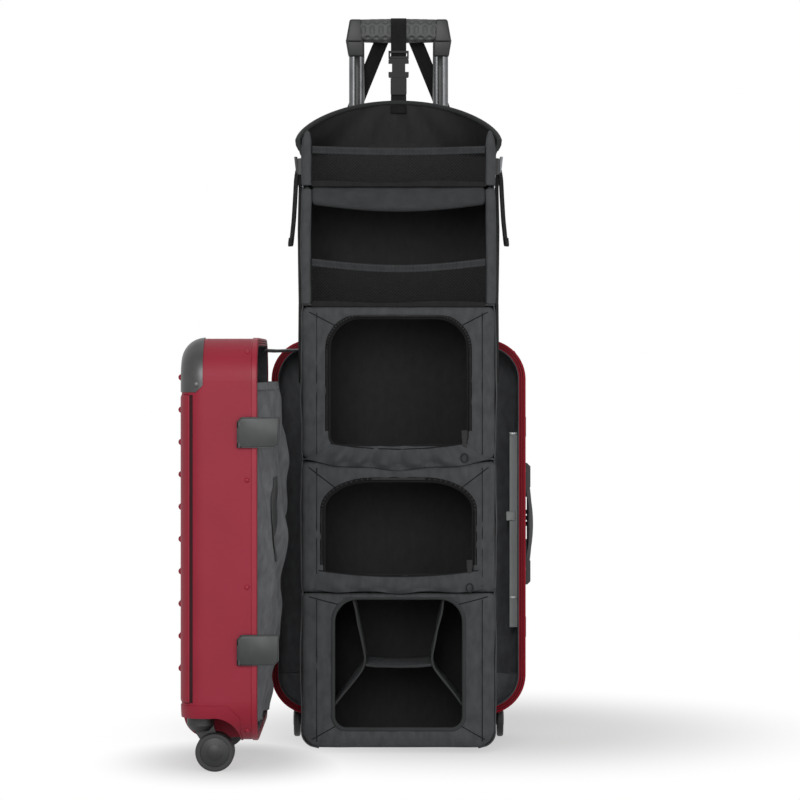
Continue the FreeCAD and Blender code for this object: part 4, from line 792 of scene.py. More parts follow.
# %% Zip pulls
RING = 4.6
PULLS = (("tier_3_zip", 90.0, 409.0), ("tier_4_zip", 97.0, 232.0))
for name, x, z in PULLS:
    turns = [2 * pi * i / 28 for i in range(28)]
    ring = [(x + RING * sin(a), CLOSET_FRONT - 8.0, z - RING + 1.25 * RING * cos(a)) for a in turns]
    cord_line(name + "_ring", ring, 0.9, clip_black, name, closed=True)
print("zip rings", len(PULLS))

# %% [markdown]
# ## Dividers in the bottom tier
# Two walls sewn from top to bottom are drawn together at the waist by a cross panel, which makes four
# pockets. A wall follows three points, smoothed, and its front edge is bound.

# %% Dividers
DIVIDER = ((63.0, 216.0, 0.0), (44.0, 121.0, 0.0), (125.0, 20.0, 0.0))
WAIST_X, WAIST_Z = DIVIDER[1][:2]
DIVIDER_RUN = run_of(DIVIDER)
DIVIDER_BLUR = 0.05
DIVIDER_GAP = 3.0
divider_deep = wall_back - wall_front - 2 * DIVIDER_GAP
for side, word in SIDES:

    def divider(u, v):
        x, z, _ = smoothed(DIVIDER, v, DIVIDER_BLUR)
        y = wall_front + DIVIDER_GAP + divider_deep * u
        return side * x + crease(y, z, side * 20.0, 26, 1.8), y, z

    piece = cloth("divider_" + word, 20, 40, divider, (divider_deep, DIVIDER_RUN), [closet_cloth], "tier_5",
                  thick=2.0)
    cord_line("divider_binding_" + word, [divider(0.0, i / 40) for i in range(41)], 1.5, hem_roll, "tier_5")
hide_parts("tier_5_dividers")


def cross_panel(u, v):
    x = (WAIST_X + 1.0) * (2 * u - 1)
    y = wall_front + DIVIDER_GAP + divider_deep * v
    return x, y, WAIST_Z - 2.5 * swell(u) + crease(x, y, 3.0, 22, 0.9)


cloth("divider_cross", 20, 20, cross_panel, (2 * WAIST_X, divider_deep), [closet_cloth], "tier_5", thick=2.0)
cord_line("divider_cross_binding", [cross_panel(i / 20, 0.0) for i in range(21)], 2.0, hem_roll, "tier_5")
print("divider", round(DIVIDER_RUN), "x", round(divider_deep), "mm")

# %% [markdown]
# ## Padded posts and the shelf roll
# The two upper tiers are open in front, between padded posts with a rounded section. A post is a tube of
# cloth whose ends are drawn to a point, so it looks stuffed and pinched at the seams. The roll of the shelf
# between them is a flat pillow that bulges forward and sags in the middle.

# %% Posts and shelf roll
POST_WIDE = 13.0
POST_DEEP = 12.0
POST_ROUND = 44
POSTS = (("tier_1", 855.0, 0.34), ("tier_2", 776.8, 0.012))
SOFT_CORNER = 0.55


def signed_power(value, power):
    """A power of a value's size that keeps its sign."""
    return copysign(abs(value) ** power, value)


def oval_point(share, wide, deep):
    """Point on a rounded-square section."""
    angle = 2 * pi * share
    return signed_power(cos(angle), SOFT_CORNER) * wide / 2, signed_power(sin(angle), SOFT_CORNER) * deep / 2


def drawn_end(share, reach, top_reach=None):
    """Width of a stuffed tube near its ends: a quarter ellipse down to nothing."""
    near = min(1.0, share / reach, (1 - share) / (top_reach or reach))
    return sqrt(max(0.0, 1 - (1 - near) ** 2))


for tier, post_high, top_reach in POSTS:
    post_low = TIER_LOW[tier]
    for side, word in SIDES:

        def post(u, v):
            z = post_low + (post_high - post_low) * v
            x, y = oval_point(u, POST_WIDE, POST_DEEP)
            full = drawn_end(v, 0.014, top_reach)
            wrinkle = crease(side * 60 + x, y, z, 24, 1.0)
            bow = 1.6 * swell(v)
            middle = CLOSET_HALF - POST_WIDE / 2 - 0.6 + 0.5 * bow
            return (side * (middle + (x + wrinkle) * full),
                    CLOSET_FRONT + POST_DEEP / 2 + lean(z) + y * full - bow, z)

        centre = (side * (CLOSET_HALF - POST_WIDE / 2), CLOSET_FRONT + POST_DEEP / 2 + lean(post_low + 40),
                  post_low + 40)
        piece = cloth(tier + "_post_" + word, 24, 36, post, (POST_ROUND, post_high - post_low), [shaded_closet_cloth],
                      tier, thick=0.0, away=centre, ring=True)

ROLL_HALF = 121.0
ROLL_TOP, ROLL_FOOT = 776.0, 752.0
ROLL_DEEP = 15.0
ROLL_BACK = 8.5


def shelf_roll(u, v):
    x = ROLL_HALF * (2 * v - 1)
    full = drawn_end(v, 0.025)
    foot = ROLL_FOOT - 10.0 * swell(v)
    deep, tall = oval_point(u, ROLL_DEEP, ROLL_TOP - foot)
    z = (ROLL_TOP + foot) / 2 + tall * full
    ripple = crease(x, tall, 5.0, 26, 1.8) + 0.8 * sin(x * 0.16 + 2) * (0.5 - tall / (ROLL_TOP - foot))
    return x, CLOSET_FRONT + ROLL_BACK + lean(z) + (deep + ripple) * full, z


roll = cloth("tier_2_shelf_roll", 28, 90, shelf_roll, (90, 2 * ROLL_HALF), [hem_cloth], "tier_2", thick=0.0,
             away=(0, CLOSET_FRONT + ROLL_BACK + 26, 757), ring=True)
print("posts", 2 * len(POSTS), "roll", 2 * ROLL_HALF, "mm")

# %% [markdown]
# ## Net pockets
# A net front holds small things on each open shelf. The real net is finer than a millimetre; it is drawn
# with 4.5 mm diamonds so that it still reads as net from here. A grid is poked into triangles, its own edges
# are dissolved so that diamonds stay, and the wireframe operator turns every edge into a strand.

# %% Nets
NET_CELL = 4.5
NET_STRAND = 1.0
NET_HALF = 119.0
NETS = {
    "tier_1": {"low": 780.5, "high": 826.0, "sag": 3.0},
    "tier_2": {"low": 614.5, "high": 670.0, "sag": 9.0},
}
HEM_TALL = 10.0
HEM_STITCHES = 48


def net_place(net, u, v, forward=0.0):
    """Point of a sagging net front, from its foot at v 0 to its hem at v 1."""
    x = NET_HALF * (2 * u - 1)
    top = net["high"] - net["sag"] * swell(u)
    z = net["low"] + (top - net["low"]) * v
    slack = 3.0 * swell(u) * min(1.0, v)
    return Vector((x, CLOSET_FRONT + 2.0 + lean(z) - slack - forward + crease(x, z, 8.0, 40, 0.8), z))


for tier, net in NETS.items():
    wide, tall = 2 * NET_HALF, net["high"] - net["low"]
    columns, rows = int(wide / NET_CELL), int(tall / NET_CELL)
    bm = bmesh.new()
    bmesh.ops.create_grid(bm, x_segments=columns, y_segments=rows, size=0.5)
    old_edges = [e for e in bm.edges if not e.is_boundary]
    bmesh.ops.poke(bm, faces=bm.faces)
    bmesh.ops.dissolve_edges(bm, edges=[e for e in old_edges if e.is_valid], use_verts=False)
    for vert in bm.verts:
        vert.co = net_place(net, vert.co.x + 0.5, vert.co.y + 0.5)
    bm.normal_update()
    bmesh.ops.wireframe(bm, faces=bm.faces, thickness=NET_STRAND, use_replace=True, use_boundary=True,
                        use_even_offset=False)
    piece = solid(tier + "_net", bm, [net_thread], tier)
    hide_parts(tier + "_mesh")

    def hem(u, v):
        spot = net_place(net, u, 1.0, 1.2)
        return spot.x, spot.y + 1.2 * cos(pi * v), spot.z - 3.0 + HEM_TALL * v

    def foot(u, v):
        spot = net_place(net, u, 0.0, 1.0)
        wave = 1.5 * sin(9.0 * u + 1.0)
        return spot.x, spot.y, spot.z - 4.0 + (7.0 + wave) * v

    hem_piece = cloth(tier + "_net_hem", 60, 6, hem, (wide, HEM_TALL), [hem_cloth], tier, thick=2.4)
    foot_piece = cloth(tier + "_net_foot", 60, 4, foot, (wide, 9.0), [binding], tier)
    for name, level in (("low", 0.22), ("high", 0.82)):
        places = []
        for i in range(HEM_STITCHES):
            here = Vector(hem((i + 0.5) / HEM_STITCHES, level))
            ahead = Vector(hem((i + 0.6) / HEM_STITCHES, level))
            places.append((here + Vector((0, -1.4, 0)), ahead - here))
        beads(tier + "_net_hem_stitches_" + name, places, STITCH, thread, tier)
    print(tier, "net", columns, "x", rows, "faces", len(piece.data.polygons))

# %% [markdown]
# ## Hood
# The top of the closet is one sheet gathered up to the hanging strap. Its front edge is a bound arch that
# leans back to the strap, and the sheet falls from there to the top of the back in folds that spread from
# the strap, so the folds are waves in the angle round the apex.

# %% Hood
HOOD_HALF = 139.0
HOOD_TIP = Vector((0, CLOSET_FRONT + 40.0, 841.0))
HOOD_APEX = Vector((0, 42.0, 904.0))
HOOD_BACK = Vector((0, 31.5, 826.0))
HOOD_FOLDS = 13
HOOD_DEEP = 104.0
HOOD_ENDS = ((-131.0, 826.0), (-135.5, 829.5), (-138.3, 835.0))


def hood_edge(share):
    """Point on the bound front arch."""
    x = HOOD_HALF * signed_power(cos(pi * (1 - share)), 0.9)
    rise = max(0.0, 1 - (x / HOOD_HALF) ** 2) ** 0.63
    y = HOOD_TIP.y + (HOOD_APEX.y - HOOD_TIP.y) * rise
    return Vector((x, y, HOOD_TIP.z + (HOOD_APEX.z - HOOD_TIP.z) * rise))


def hood_sheet(u, v):
    front = hood_edge(u)
    back = Vector((front.x * 0.975, HOOD_BACK.y, HOOD_BACK.z))
    spot = front.lerp(back, v)
    spread = atan2(spot.x, 40.0 + 60.0 * v)
    fold = 2.6 * sin(HOOD_FOLDS * spread + 0.8 * sin(3 * spread)) * swell(v) ** 0.7
    droop = 5.0 * swell(v) * (2 * u - 1) ** 2
    return spot.x, spot.y + fold + crease(spot.x, spot.y, spot.z, 30, 1.0), spot.z - droop + 0.6 * fold


hood_run = run_of([hood_edge(i / 40) for i in range(41)])
hood_piece = cloth("hood_sheet", 96, 24, hood_sheet, (hood_run, HOOD_DEEP), two_sided, "tier_1", thick=1.8,
                   away=(0, -40, 820))
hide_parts("hood")
left_end = [(x, HOOD_TIP.y + 3.0, z) for x, z in HOOD_ENDS]
right_end = [(-x, y, z) for x, y, z in reversed(left_end)]
arch = [hood_edge(i / 48) for i in range(49)]
cord_line("hood_binding", left_end + arch + right_end, 3.6, binding_roll, "tier_1")
print("hood arch", round(hood_run), "mm")

# %% [markdown]
# ## Webbing
# Flat straps are strips of ribbed webbing along a given line, with the width laid off to one side. The
# hanging strap goes over the grip, and two legs run down behind the tubes to the closet's back.

# %% Straps
def strap(name, points, side, wide, body):
    """A strip of webbing along points, smoothed at its bends, on one piece or node."""
    run = run_of(points)
    blur = min(0.04, 4.0 / run)
    across = Vector(side).normalized()

    def lay(u, v):
        return smoothed(points, v, blur) + across * (u - 0.5) * wide

    return cloth(name, 6, max(10, int(run / 2.5)), lay, (wide, run), [webbing], body, thick=1.5)


HANG_WIDE = 22.0
LEG_WIDE = 20.0
SIDE_WIDE = 10.0
GRIP_ROUND = [(65.4, 1018), (68.0, 1024.6), (74.0, 1027.4), (86.0, 1027.4), (92.0, 1024.6), (94.6, 1018),
              (94.6, 1002), (92.0, 995.4), (86.0, 992.5), (74.0, 992.5), (69.5, 994.0)]
FRONT_RUN = [(62.0, 967.0), (61.9, 976.0), (62.4, 984.0), (64.3, 994.0), (65.4, 1003.0)]
TAB = [(35.0, 888), (39.5, 899), (44.0, 905), (54.0, 912), (61.8, 917), (62.0, 924)]
LEG = [(18, 95.0, 1012), (30, 95.4, 984), (52, 95.2, 930), (75, 94.8, 872)]
LEG_FOOT = [(76.5, 94.0, 878), (77.5, 88.0, 878), (77.0, 62.0, 878), (76.0, 36.5, 877)]
hang_parts = [strap("hang_strap_loop", [(0, y, z) for y, z in FRONT_RUN + GRIP_ROUND], (1, 0, 0), HANG_WIDE,
                    "handle_upper")]
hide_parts("hang_strap")
for side, word in SIDES:
    leg = [(side * x, y, z) for x, y, z in LEG]
    hang_parts.append(strap("hang_leg_" + word, leg, (side * 0.93, 0, 0.36), LEG_WIDE, "handle_upper"))
    leg_foot = [(side * x, y, z) for x, y, z in LEG_FOOT]
    hang_parts.append(strap("hang_foot_" + word, leg_foot, (0, 0, 1), LEG_WIDE, "handle_upper"))
for piece in hang_parts:
    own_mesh(piece)
strap("hood_tab", [(0, y, z) for y, z in TAB], (1, 0, 0), HANG_WIDE, "tier_1")

CAM_Y = CLOSET_FRONT + 87.8
SIDE_STRAPS = (
    ("side_strap_", "tier_2", "tier_2_walls", ((137.6, 781), (138.6, 720), (137.8, 670), (136.6, 612))),
    ("side_strap_top_", "tier_1", "cam_buckles", ((139.4, 801), (138.6, 790), (137.4, 777.5))),
    ("side_strap_low_", "tier_3", "tier_3_walls", ((136.8, 617), (137.2, 560), (136.4, 505))),
)
TAIL = ((141.5, 806, 0), (143.6, 792, 0), (144.8, 765, 2), (146.4, 735, 4), (149.5, 702, 5), (150.6, 695, 5),
        (151.6, 697, 5), (150.2, 710, 5))
for side, word in SIDES:
    for name, body, under, points in SIDE_STRAPS:
        line = [(side * x, CAM_Y + lean(z), z) for x, z in points]
        strap(name + word, line, (side * 0.42, 0.9, 0), SIDE_WIDE, body)
    tail = [(side * x, CAM_Y + lean(z) - forward, z) for x, z, forward in TAIL]
    strap("strap_tail_" + word, tail, (side * 0.55, 0.84, 0), SIDE_WIDE, "tier_1")
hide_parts("compression_straps")

# %% [markdown]
# ## Linings
# Thin polyester glued inside each half, stepped over the wheel housings. The CAD tray already has every step,
# so a copy of it is merged, its long edges are cut down to cloth-sized triangles, and noise moves both of its
# layers together into soft wrinkles, which die out at the rim where the lining is held.

# %% Linings
RIM_X = -183.0
LINING_EDGE = 0.013
LINING_WRINKLE = 1.7
# Without a seed, noise_vector starts from the clock, and the wrinkles would differ in every run.
noise.seed_set(7)


def box_uv(bm):
    """UVs in metres from the axis that each face looks along most."""
    uv = bm.loops.layers.uv.new("UVMap")
    for face in bm.faces:
        steep = max(range(3), key=lambda axis: abs(face.normal[axis]))
        first, second = [axis for axis in range(3) if axis != steep]
        for loop in face.loops:
            loop[uv].uv = loop.vert.co[first], loop.vert.co[second]


def wrinkled_copy(node, body, depth_of):
    """A lining's cloth from its CAD node; depth_of gives how far a point lies inside the rim."""
    bm = bmesh.new()
    bm.from_mesh(nodes[node].data)
    bmesh.ops.remove_doubles(bm, verts=bm.verts, dist=0.01 * MM)
    for _ in range(7):
        long_edges = [edge for edge in bm.edges if edge.calc_length() > LINING_EDGE]
        if not long_edges:
            break
        bmesh.ops.subdivide_edges(bm, edges=long_edges, cuts=1)
        bmesh.ops.triangulate(bm, faces=bm.faces)
    for vert in bm.verts:
        place = vert.co / MM
        free = min(1.0, max(0.0, (depth_of(place) - 12.0) / 30.0))
        big = noise.noise_vector(place / 46.0) * LINING_WRINKLE
        small = noise.noise_vector(place / 17.0) * LINING_WRINKLE * 0.35
        vert.co += (big + small) * free * MM
    bm.normal_update()
    box_uv(bm)
    piece = settle(from_bmesh(node + "_cloth", bm), [lining_cloth], body)
    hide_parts(node)
    print(node, "triangles", len(piece.data.polygons))


wrinkled_copy("rear_lining", "case", lambda p: p.y)
wrinkled_copy("lid_lining", "lid", lambda p: RIM_X - p.x)

# %% [markdown]
# ## Lid pocket
# A loose cloth pocket fills the lid. It bellies out past the rim in uneven upright folds, hangs from a hem
# and carries a blank sewn label.

# %% Pocket
LID_MIDDLE = -183.0
POCKET_HALF = 167.0
POCKET_LOW, POCKET_HIGH = 64.0, 507.0
POCKET_BELLY = 31.0
POCKET_HEM = 10.5
BEHIND_POCKET = (-280, LID_MIDDLE, 280)


def pocket(u, v, lift=0.0):
    z = POCKET_LOW + (POCKET_HIGH - POCKET_LOW) * v
    narrow = 1.0 - 0.13 * max(0.0, 1 - (z - POCKET_LOW) / 46.0) ** 2
    y = LID_MIDDLE - POCKET_HALF * narrow * (2 * u - 1)
    full = swell(min(1.0, max(0.0, 0.08 + 0.66 * v))) ** 1.3
    belly = (1 - (2 * u - 1) ** 2) * (0.05 + 0.95 * full)
    folds = 3.6 * sin(10 * pi * u + 1.4 * sin(4.2 * v)) * swell(u)
    rumple = crease(y + 0.5 * z, 0.5 * z, 4.0, 44, 11.0) + crease(y + 0.3 * z, z * 0.6, 31.0, 20, 4.6)
    ends = min(1.0, 9 * u, 9 * (1 - u))
    return RIM_X - 5.0 + POCKET_BELLY * belly + (folds + rumple) * ends + lift, y, z


def pocket_hem(u, v):
    x, y, z = pocket(u, 1.0)
    return x + 0.9 * cos(pi * v), y, z - 9.0 + POCKET_HEM * v


def label(u, v):
    return pocket(0.70 + 0.13 * u, 0.47 + 0.25 * v, 2.6)


pocket_piece = cloth("lid_pocket_cloth", 150, 110, pocket, (2 * POCKET_HALF, POCKET_HIGH - POCKET_LOW),
                     [lining_light], "lid", thick=1.4, away=BEHIND_POCKET)
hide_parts("lid_pocket_panel")
hem_piece = cloth("lid_pocket_hem", 120, 5, pocket_hem, (2 * POCKET_HALF, POCKET_HEM), [lining_light], "lid",
                  thick=2.6, away=(-280, LID_MIDDLE, 480))
label_piece = cloth("lid_pocket_label", 28, 60, label, (43, 110), [label_cloth], "lid", thick=0.8,
                    away=BEHIND_POCKET)
for piece in (pocket_piece, hem_piece, label_piece):
    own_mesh(piece)
print("pocket", 2 * POCKET_HALF, "x", POCKET_HIGH - POCKET_LOW, "mm")

# %% [markdown]
# ## Rivets and wheel discs
# Rivets hold the rims and the corner guards; each wheel has a grey disc pressed into its dish. These are
# turned parts, so a half profile is spun about its axis.

# %% Turned parts
DOME = [(0, 2.2), (1.6, 1.9), (2.8, 1.1), (3.4, 0.2), (3.4, -0.9), (0, -0.9)]
FLAT_HEAD = [(0, 0.5), (2.4, 0.5), (3.1, 0.2), (3.3, -0.6), (0, -0.6)]
DISC = [(0, 0.9), (9.6, 0.9), (10.6, 0.3), (11.4, 0.0), (17.6, 0.0), (18.9, -0.6), (18.9, -1.1), (0, -1.1)]
RIVET_LEVELS = (55.0, 243.0, 382.0, 549.0)
GUARD_RIVET_Z = 506.0
SHELL_HALF = 178.0
SHELL_CORNER = 55.0
SHELL_LOW, SHELL_HIGH = 40.0, 566.0
WHEEL_OUT = 13.4
WHEEL_Z = 25.5
WHEELS = {
    "rear_right": ((136.0, 72.0), (1, 0, 0)),
    "rear_left": ((-136.0, 72.0), (1, 0, 0)),
    "lid_right": ((-240.0, -319.0), (0, 1, 0)),
    "lid_left": ((-240.0, -47.0), (0, 1, 0)),
}


def turned(name, profile, spots, finish, body, steps=20):
    """One piece: a half profile of (radius, height) pairs spun at each (place, direction) spot."""
    bm = bmesh.new()
    for place, direction in spots:
        before = set(bm.verts)
        start = [bm.verts.new((radius, 0, height)) for radius, height in profile]
        edges = [bm.edges.new(pair) for pair in zip(start, start[1:])]
        bmesh.ops.spin(bm, geom=start + edges, cent=(0, 0, 0), axis=(0, 0, 1), angle=2 * pi, steps=steps,
                       use_merge=True)
        aim = Vector(direction).to_track_quat("Z", "Y").to_matrix().to_4x4()
        bmesh.ops.transform(bm, matrix=Matrix.Translation(Vector(place)) @ aim,
                            verts=[vert for vert in bm.verts if vert not in before])
    bmesh.ops.remove_doubles(bm, verts=bm.verts, dist=0.01)
    solid(name, bm, [finish], body)


def wall_at(z):
    """How far out a half's side wall is at a height, and the way that it faces there: across and up."""
    middle = min(SHELL_HIGH - SHELL_CORNER, max(SHELL_LOW + SHELL_CORNER, z))
    rise = (z - middle) / SHELL_CORNER
    across = sqrt(1 - rise * rise)
    return SHELL_HALF - SHELL_CORNER * (1 - across), across, rise


rear_spots, lid_spots = [], []
for z in RIVET_LEVELS:
    out, across, rise = wall_at(z)
    rear_spots.append(((out, 14.0, z), (across, 0, rise)))
    lid_spots.append(((-196.5, LID_MIDDLE - out, z), (0, -across, rise)))
turned("rear_rim_rivets", DOME, rear_spots, rim_red, "case")
turned("lid_rim_rivets", DOME, lid_spots, rim_red, "lid")
rear_spots = [((side * 179.4, 94.0, GUARD_RIVET_Z), (side, 0, 0)) for side, _ in SIDES]
lid_spots = [((-262.0, LID_MIDDLE + side * 179.4, GUARD_RIVET_Z), (0, side, 0)) for side, _ in SIDES]
turned("rear_guard_rivets", FLAT_HEAD, rear_spots, gunmetal, "case")
turned("lid_guard_rivets", FLAT_HEAD, lid_spots, gunmetal, "lid")
for name, ((x, y), axis) in WHEELS.items():
    faces = [side * Vector(axis) for side, _ in SIDES]
    spots = [(Vector((x, y, WHEEL_Z)) + face * WHEEL_OUT, face) for face in faces]
    turned(name + "_wheel_discs", DISC, spots, wheel_cap, name + "_wheel", 40)
print("wheel discs", 2 * len(WHEELS))

# %% [markdown]
# ## Rail joints
# The strip inside the rear half is held by two bright clamp plates.

# %% Rail
CLAMP_SIZE = (11.6, 1.6, 3.4)
CLAMPS = ((162.6, 21.0, 434.0), (162.6, 21.0, 202.0))


def block(bm, middle, size, offset):
    """A bevelled block by its middle and its three sizes."""
    shape = Matrix.Translation(middle) @ Matrix.Diagonal((*size, 1))
    bevelled(bm, bmesh.ops.create_cube(bm, size=1.0, matrix=shape)["verts"], offset, 2)


bm = bmesh.new()
for middle in CLAMPS:
    block(bm, middle, CLAMP_SIZE, 0.4)
solid("rail_clamps", bm, [steel], "case")
print("rail clamps", len(CLAMPS))

# %% [markdown]
# ## Raised back edges
# The ribbed back of each half wraps round its edge and ends in a raised step, with a flat near-black strip
# beside it that is painted shade.
# The step hugs the shell's 30 mm edge rounding, so a curved strip is laid on that arc and lifted a little.

# %% Back edges
EDGE_ROUND = 30.0
STEP_LOW, STEP_HIGH = 91.0, 494.0
STEP_PROUD = 1.5
STEP_SUNK = 0.4
HALVES = {
    "case": ("rear", 115.0, rim_deep, lambda out, depth: (out, depth)),
    "lid": ("lid", 100.0, rim_red, lambda out, depth: (RIM_X - depth, LID_MIDDLE - out)),
}


def eased(fade):
    """A quarter circle from 0 to 1."""
    return sqrt(max(0.0, 1 - (1 - fade) ** 2))


def on_edge(half, side, degrees, proud):
    """Plan point on the rounding between a half's side wall and back."""
    _, depth, _, plan = HALVES[half]
    reach = EDGE_ROUND + proud
    angle = radians(degrees)
    out = side * (SHELL_HALF - EDGE_ROUND + reach * cos(angle))
    return plan(out, depth - EDGE_ROUND + reach * sin(angle))


for half, (prefix, *_) in HALVES.items():
    for side, word in SIDES:

        def step(u, v):
            fade = min(1.0, u / 0.12, (1 - u) / 0.12, v / 0.008, (1 - v) / 0.008)
            proud = -STEP_SUNK + (STEP_PROUD + STEP_SUNK) * eased(fade)
            return (*on_edge(half, side, 37 + 47 * u, proud), STEP_LOW + (STEP_HIGH - STEP_LOW) * v)

        # A flat near-black strip beside the step: painted shade, not a cut groove.
        def groove(u, v):
            return (*on_edge(half, side, 28 + 10 * u, 0.25), STEP_LOW + 1.5 + (STEP_HIGH - STEP_LOW - 3) * v)

        centre = (*on_edge(half, side, 60, -20), 300)
        cloth(prefix + "_edge_step_" + word, 24, 90, step, (25, STEP_HIGH - STEP_LOW), [shell_red], half,
              thick=0.5, away=centre)
        cloth(prefix + "_edge_painted_shade_" + word, 4, 20, groove, (5, STEP_HIGH - STEP_LOW), [shade_strip_and_seal_red], half,
              thick=0.3, away=centre)
print("edge steps", 2 * len(HALVES))

# %% [markdown]
# ## Rim bands and seals
# Each half's rim stands a little proud of its shell and carries two dark seal lines round its face. The band
# is a ring of grid on the shell's outline, and a seal is a round line on a smaller outline.

# %% Rims
RIM_NEAR, RIM_FAR = 0.7, 8.2
RIM_PROUD = 1.0
RIM_SUNK = 0.3
SEAL_INSETS = (2.6, 5.4)
SEAL_DEPTH = 0.95
SEAL_POINTS = 180
RIM_RUN = 2 * (2 * SHELL_HALF + SHELL_HIGH - SHELL_LOW) - (8 - 2 * pi) * SHELL_CORNER


def shell_outline(share, proud):
    """Point (across, z) on a half's outline, moved out by a distance."""
    corner = SHELL_CORNER + proud
    return rounded_loop(share, SHELL_HALF + proud, SHELL_LOW - proud, SHELL_HIGH + proud, corner, corner)


for half, (prefix, _, finish, plan) in HALVES.items():

    def rim_band(u, v):
        fade = min(1.0, v / 0.16, (1 - v) / 0.16)
        out, z = shell_outline(u, -RIM_SUNK + (RIM_PROUD + RIM_SUNK) * eased(fade))
        return (*plan(out, RIM_NEAR + (RIM_FAR - RIM_NEAR) * v), z)

    cloth(prefix + "_rim_band", 220, 12, rim_band, (RIM_RUN, RIM_FAR - RIM_NEAR), [finish], half,
          thick=0.4, away=(*plan(0, 4.0), 300), ring=True)
    for number, inset in enumerate(SEAL_INSETS, 1):
        loop = [shell_outline(i / SEAL_POINTS, -inset) for i in range(SEAL_POINTS)]
        line = [(*plan(out, SEAL_DEPTH), z) for out, z in loop]
        cord_line(prefix + "_seal_" + str(number), line, 0.8, shade_strip_and_seal_red, half, closed=True)
print("rim bands", round(RIM_RUN), "mm round")

# %% [markdown]
# ## Latch faces
# Each latch plate has a flat face inside a bevel that is painted near-black as shade. A bmesh inset makes
# both from one outline.

# %% Latches
LATCH_LEFT, LATCH_RIGHT = -209.4, -154.6
LATCH_CUT = 6.0
LATCH_BEVEL = 2.2
LATCH_FRONT = -366.6
LATCH_THICK = 1.8
LATCHES = (("lower_latch", 142.1, 181.9), ("upper_latch", 424.1, 463.9))
for name, low, high in LATCHES:
    bm = bmesh.new()
    outline = [(LATCH_LEFT, low), (LATCH_RIGHT - LATCH_CUT, low), (LATCH_RIGHT, low + LATCH_CUT),
               (LATCH_RIGHT, high), (LATCH_LEFT + LATCH_CUT, high), (LATCH_LEFT, high - LATCH_CUT)]
    back = bm.faces.new([bm.verts.new((x, LATCH_FRONT + LATCH_THICK, z)) for x, z in outline])
    made = bmesh.ops.extrude_face_region(bm, geom=[back], use_keep_orig=True)["geom"]
    front = [item for item in made if isinstance(item, bmesh.types.BMFace)]
    bmesh.ops.translate(bm, vec=(0, -LATCH_THICK, 0), verts=list(front[0].verts))
    bmesh.ops.recalc_face_normals(bm, faces=bm.faces)
    for face in bm.faces:
        face.material_index = 1
    bmesh.ops.inset_individual(bm, faces=front, thickness=LATCH_BEVEL, depth=1.2)
    front[0].material_index = 0
    solid(name + "_face", bm, [latch_metal, latch_bevel_shade], name)
print("latch faces", len(LATCHES))

# %% [markdown]
# ## Grip
# The pull handle's grip has two flared end caps with tapered necks and a rubber sleeve between them, slightly
# barrelled and dimpled in staggered rows. The caps are cubes whose corners are moved and then bevelled; the
# sleeve is a closed tube of cloth-like grid pressed in by small round dimples.

# %% Grip
GRIP_Y, GRIP_Z = 80.0, 1010.0
CAP_TOP, CAP_FOOT, NECK_FOOT = 1026.0, 993.0, 972.2


def tapered_block(bm, side, y, top, foot, offset, segments):
    """A bevelled block at a side, from (inner x, outer x, half depth, z) at its top and foot."""
    verts = bmesh.ops.create_cube(bm, size=2.0)["verts"]
    for vert in verts:
        inner, outer, deep, z = top if vert.co.z > 0 else foot
        outside = (vert.co.x > 0) == (side > 0)
        vert.co = Vector((side * (outer if outside else inner), y + deep * vert.co.y, z))
    bevelled(bm, verts, offset, segments)


bm = bmesh.new()
for side, _ in SIDES:
    tapered_block(bm, side, GRIP_Y, (52.5, 70.0, 12.4, CAP_TOP), (51.0, 75.8, 13.4, CAP_FOOT), 3.2, 4)
    tapered_block(bm, side, GRIP_Y, (49.8, 76.2, 11.6, CAP_FOOT + 5), (49.6, 71.8, 8.4, NECK_FOOT), 3.2, 4)
caps = solid("grip_caps", bm, [cap_nylon], "handle_upper")
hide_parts("grip_frame")

SLEEVE_HALF = 56.0
DIMPLE_PITCH = 12.6
DIMPLE_ROWS = 12
ROW_PITCH = 8.6
DIMPLE_SIZE = 4.3


def sleeve(u, v):
    x = SLEEVE_HALF * (2 * v - 1)
    ends = min(1.0, min(v, 1 - v) / 0.012)
    barrel = 1 - 0.06 * (2 * v - 1) ** 2
    deep, tall = oval_point(u, 25.4 * barrel, 32.6 * barrel)
    dent = 0.0
    for row in range(DIMPLE_ROWS):
        around = (u * DIMPLE_ROWS - row + DIMPLE_ROWS / 2) % DIMPLE_ROWS - DIMPLE_ROWS / 2
        shift = DIMPLE_PITCH / 2 if row % 2 else 0.0
        sideways = (x + shift + DIMPLE_PITCH / 2) % DIMPLE_PITCH - DIMPLE_PITCH / 2
        away = hypot(around * ROW_PITCH, sideways) / DIMPLE_SIZE
        dent = max(dent, 1 - away * away)
    press = 1 - 0.10 * dent
    return x, GRIP_Y + deep * press * ends, GRIP_Z + tall * press * ends


sleeve_piece = cloth("grip_sleeve_rubber", 132, 150, sleeve, (104, 2 * SLEEVE_HALF), [grip_rubber],
                     "handle_upper", away=(0, GRIP_Y, GRIP_Z), ring=True)
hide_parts("grip_sleeve")
for side, word in SIDES:

    # A flat dark strip down each tube's groove: painted shade.
    def channel(u, v):
        return side * (55.4 + 8.0 * u), 72.86, 746.0 + (NECK_FOOT - 745.0) * v

    cloth("tube_channel_" + word, 2, 12, channel, (8, 221), [tube_groove_shade], "handle_upper",
          thick=0.3)
print("grip dimples", DIMPLE_ROWS, "rows")

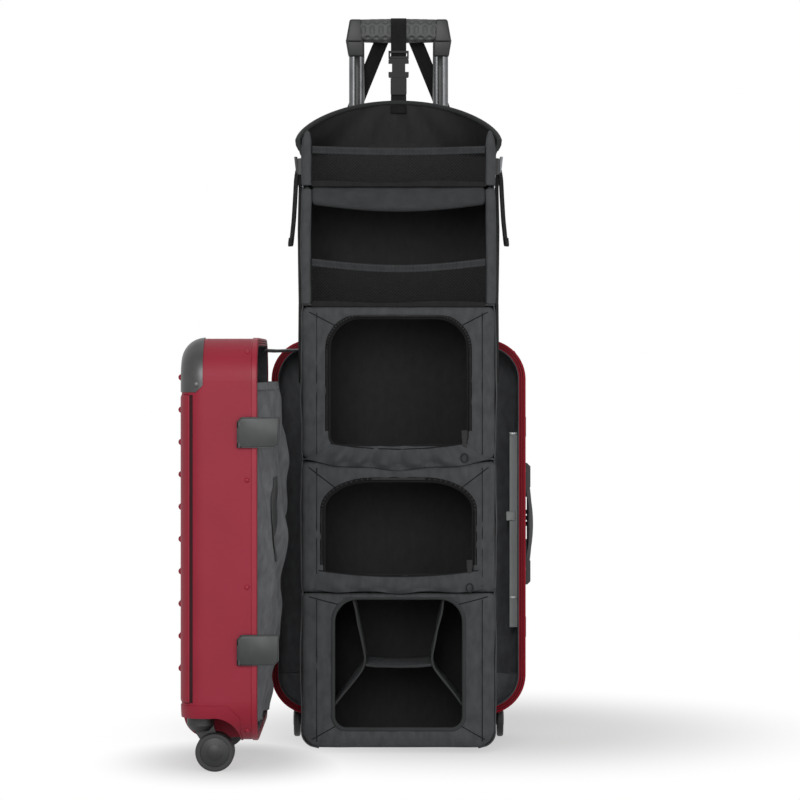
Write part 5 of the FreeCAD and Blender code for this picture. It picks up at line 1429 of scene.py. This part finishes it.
# %% [markdown]
# ## Cam levers and lid stay
# A lever on each compression buckle and a short flat stay between the lid and the rear half at the top. The
# stay crosses the hinge, and it is left on neither body.

# %% Levers and stay
LEVER_TOP, LEVER_FOOT = (142.0, 146.6, 5.4, 823.5), (140.8, 144.0, 5.4, 801.0)
for (side, word), finish in zip(SIDES, (dark_nylon, stay_grey)):
    bm = bmesh.new()
    tapered_block(bm, side, CAM_Y + lean(812), LEVER_TOP, LEVER_FOOT, 1.3, 3)
    solid("cam_lever_" + word, bm, [finish], "tier_1", crumples=False)

STAY = [(-188.0, -42.0, 551.5), (-172.0, -22.0, 550.8), (-156.0, -8.0, 551.4), (-143.0, 3.0, 551.5)]
STAY_RUN = run_of(STAY)
STAY_WIDE = 10.2


def stay(u, v):
    return along(STAY, v) + Vector((0.55, -0.75, 0.36)) * STAY_WIDE * (u - 0.5)


stay_piece = cloth("lid_stay", 4, 24, stay, (STAY_WIDE, STAY_RUN), [stay_grey], None, thick=1.2)
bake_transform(stay_piece)
print("stay", round(STAY_RUN), "mm")

# %% [markdown]
# ## Carry handle base
# The carry grip lies close to the wall: a dark pad fills it underneath and two low plates flank the lock.

# %% Carry handle
PLATES = (((179.7, 40.0, 255.5), (4.6, 19.0, 57.0)), ((179.7, 40.0, 364.5), (4.6, 19.0, 41.0)))
PAD_LOW, PAD_LONG = 244.0, 124.0
PAD_INNER, PAD_OUTER = 182.9, 189.0
bm = bmesh.new()
for middle, size in PLATES:
    block(bm, middle, size, 0.9)
solid("carry_handle_plates", bm, [clip_black], "case")


def grip_pad(u, v):
    outer = PAD_OUTER - 4.6 * (2 * v - 1) ** 2
    deep, out = oval_point(u, 15.0, outer - PAD_INNER)
    ends = drawn_end(v, 0.02)
    return (outer + PAD_INNER) / 2 + out * ends, 40.0 + deep * ends, PAD_LOW + PAD_LONG * v


cloth("carry_grip_pad", 24, 40, grip_pad, (44, PAD_LONG), [dark_nylon], "side_handle",
      away=(186, 40, 306), ring=True)
print("carry handle plates", len(PLATES))
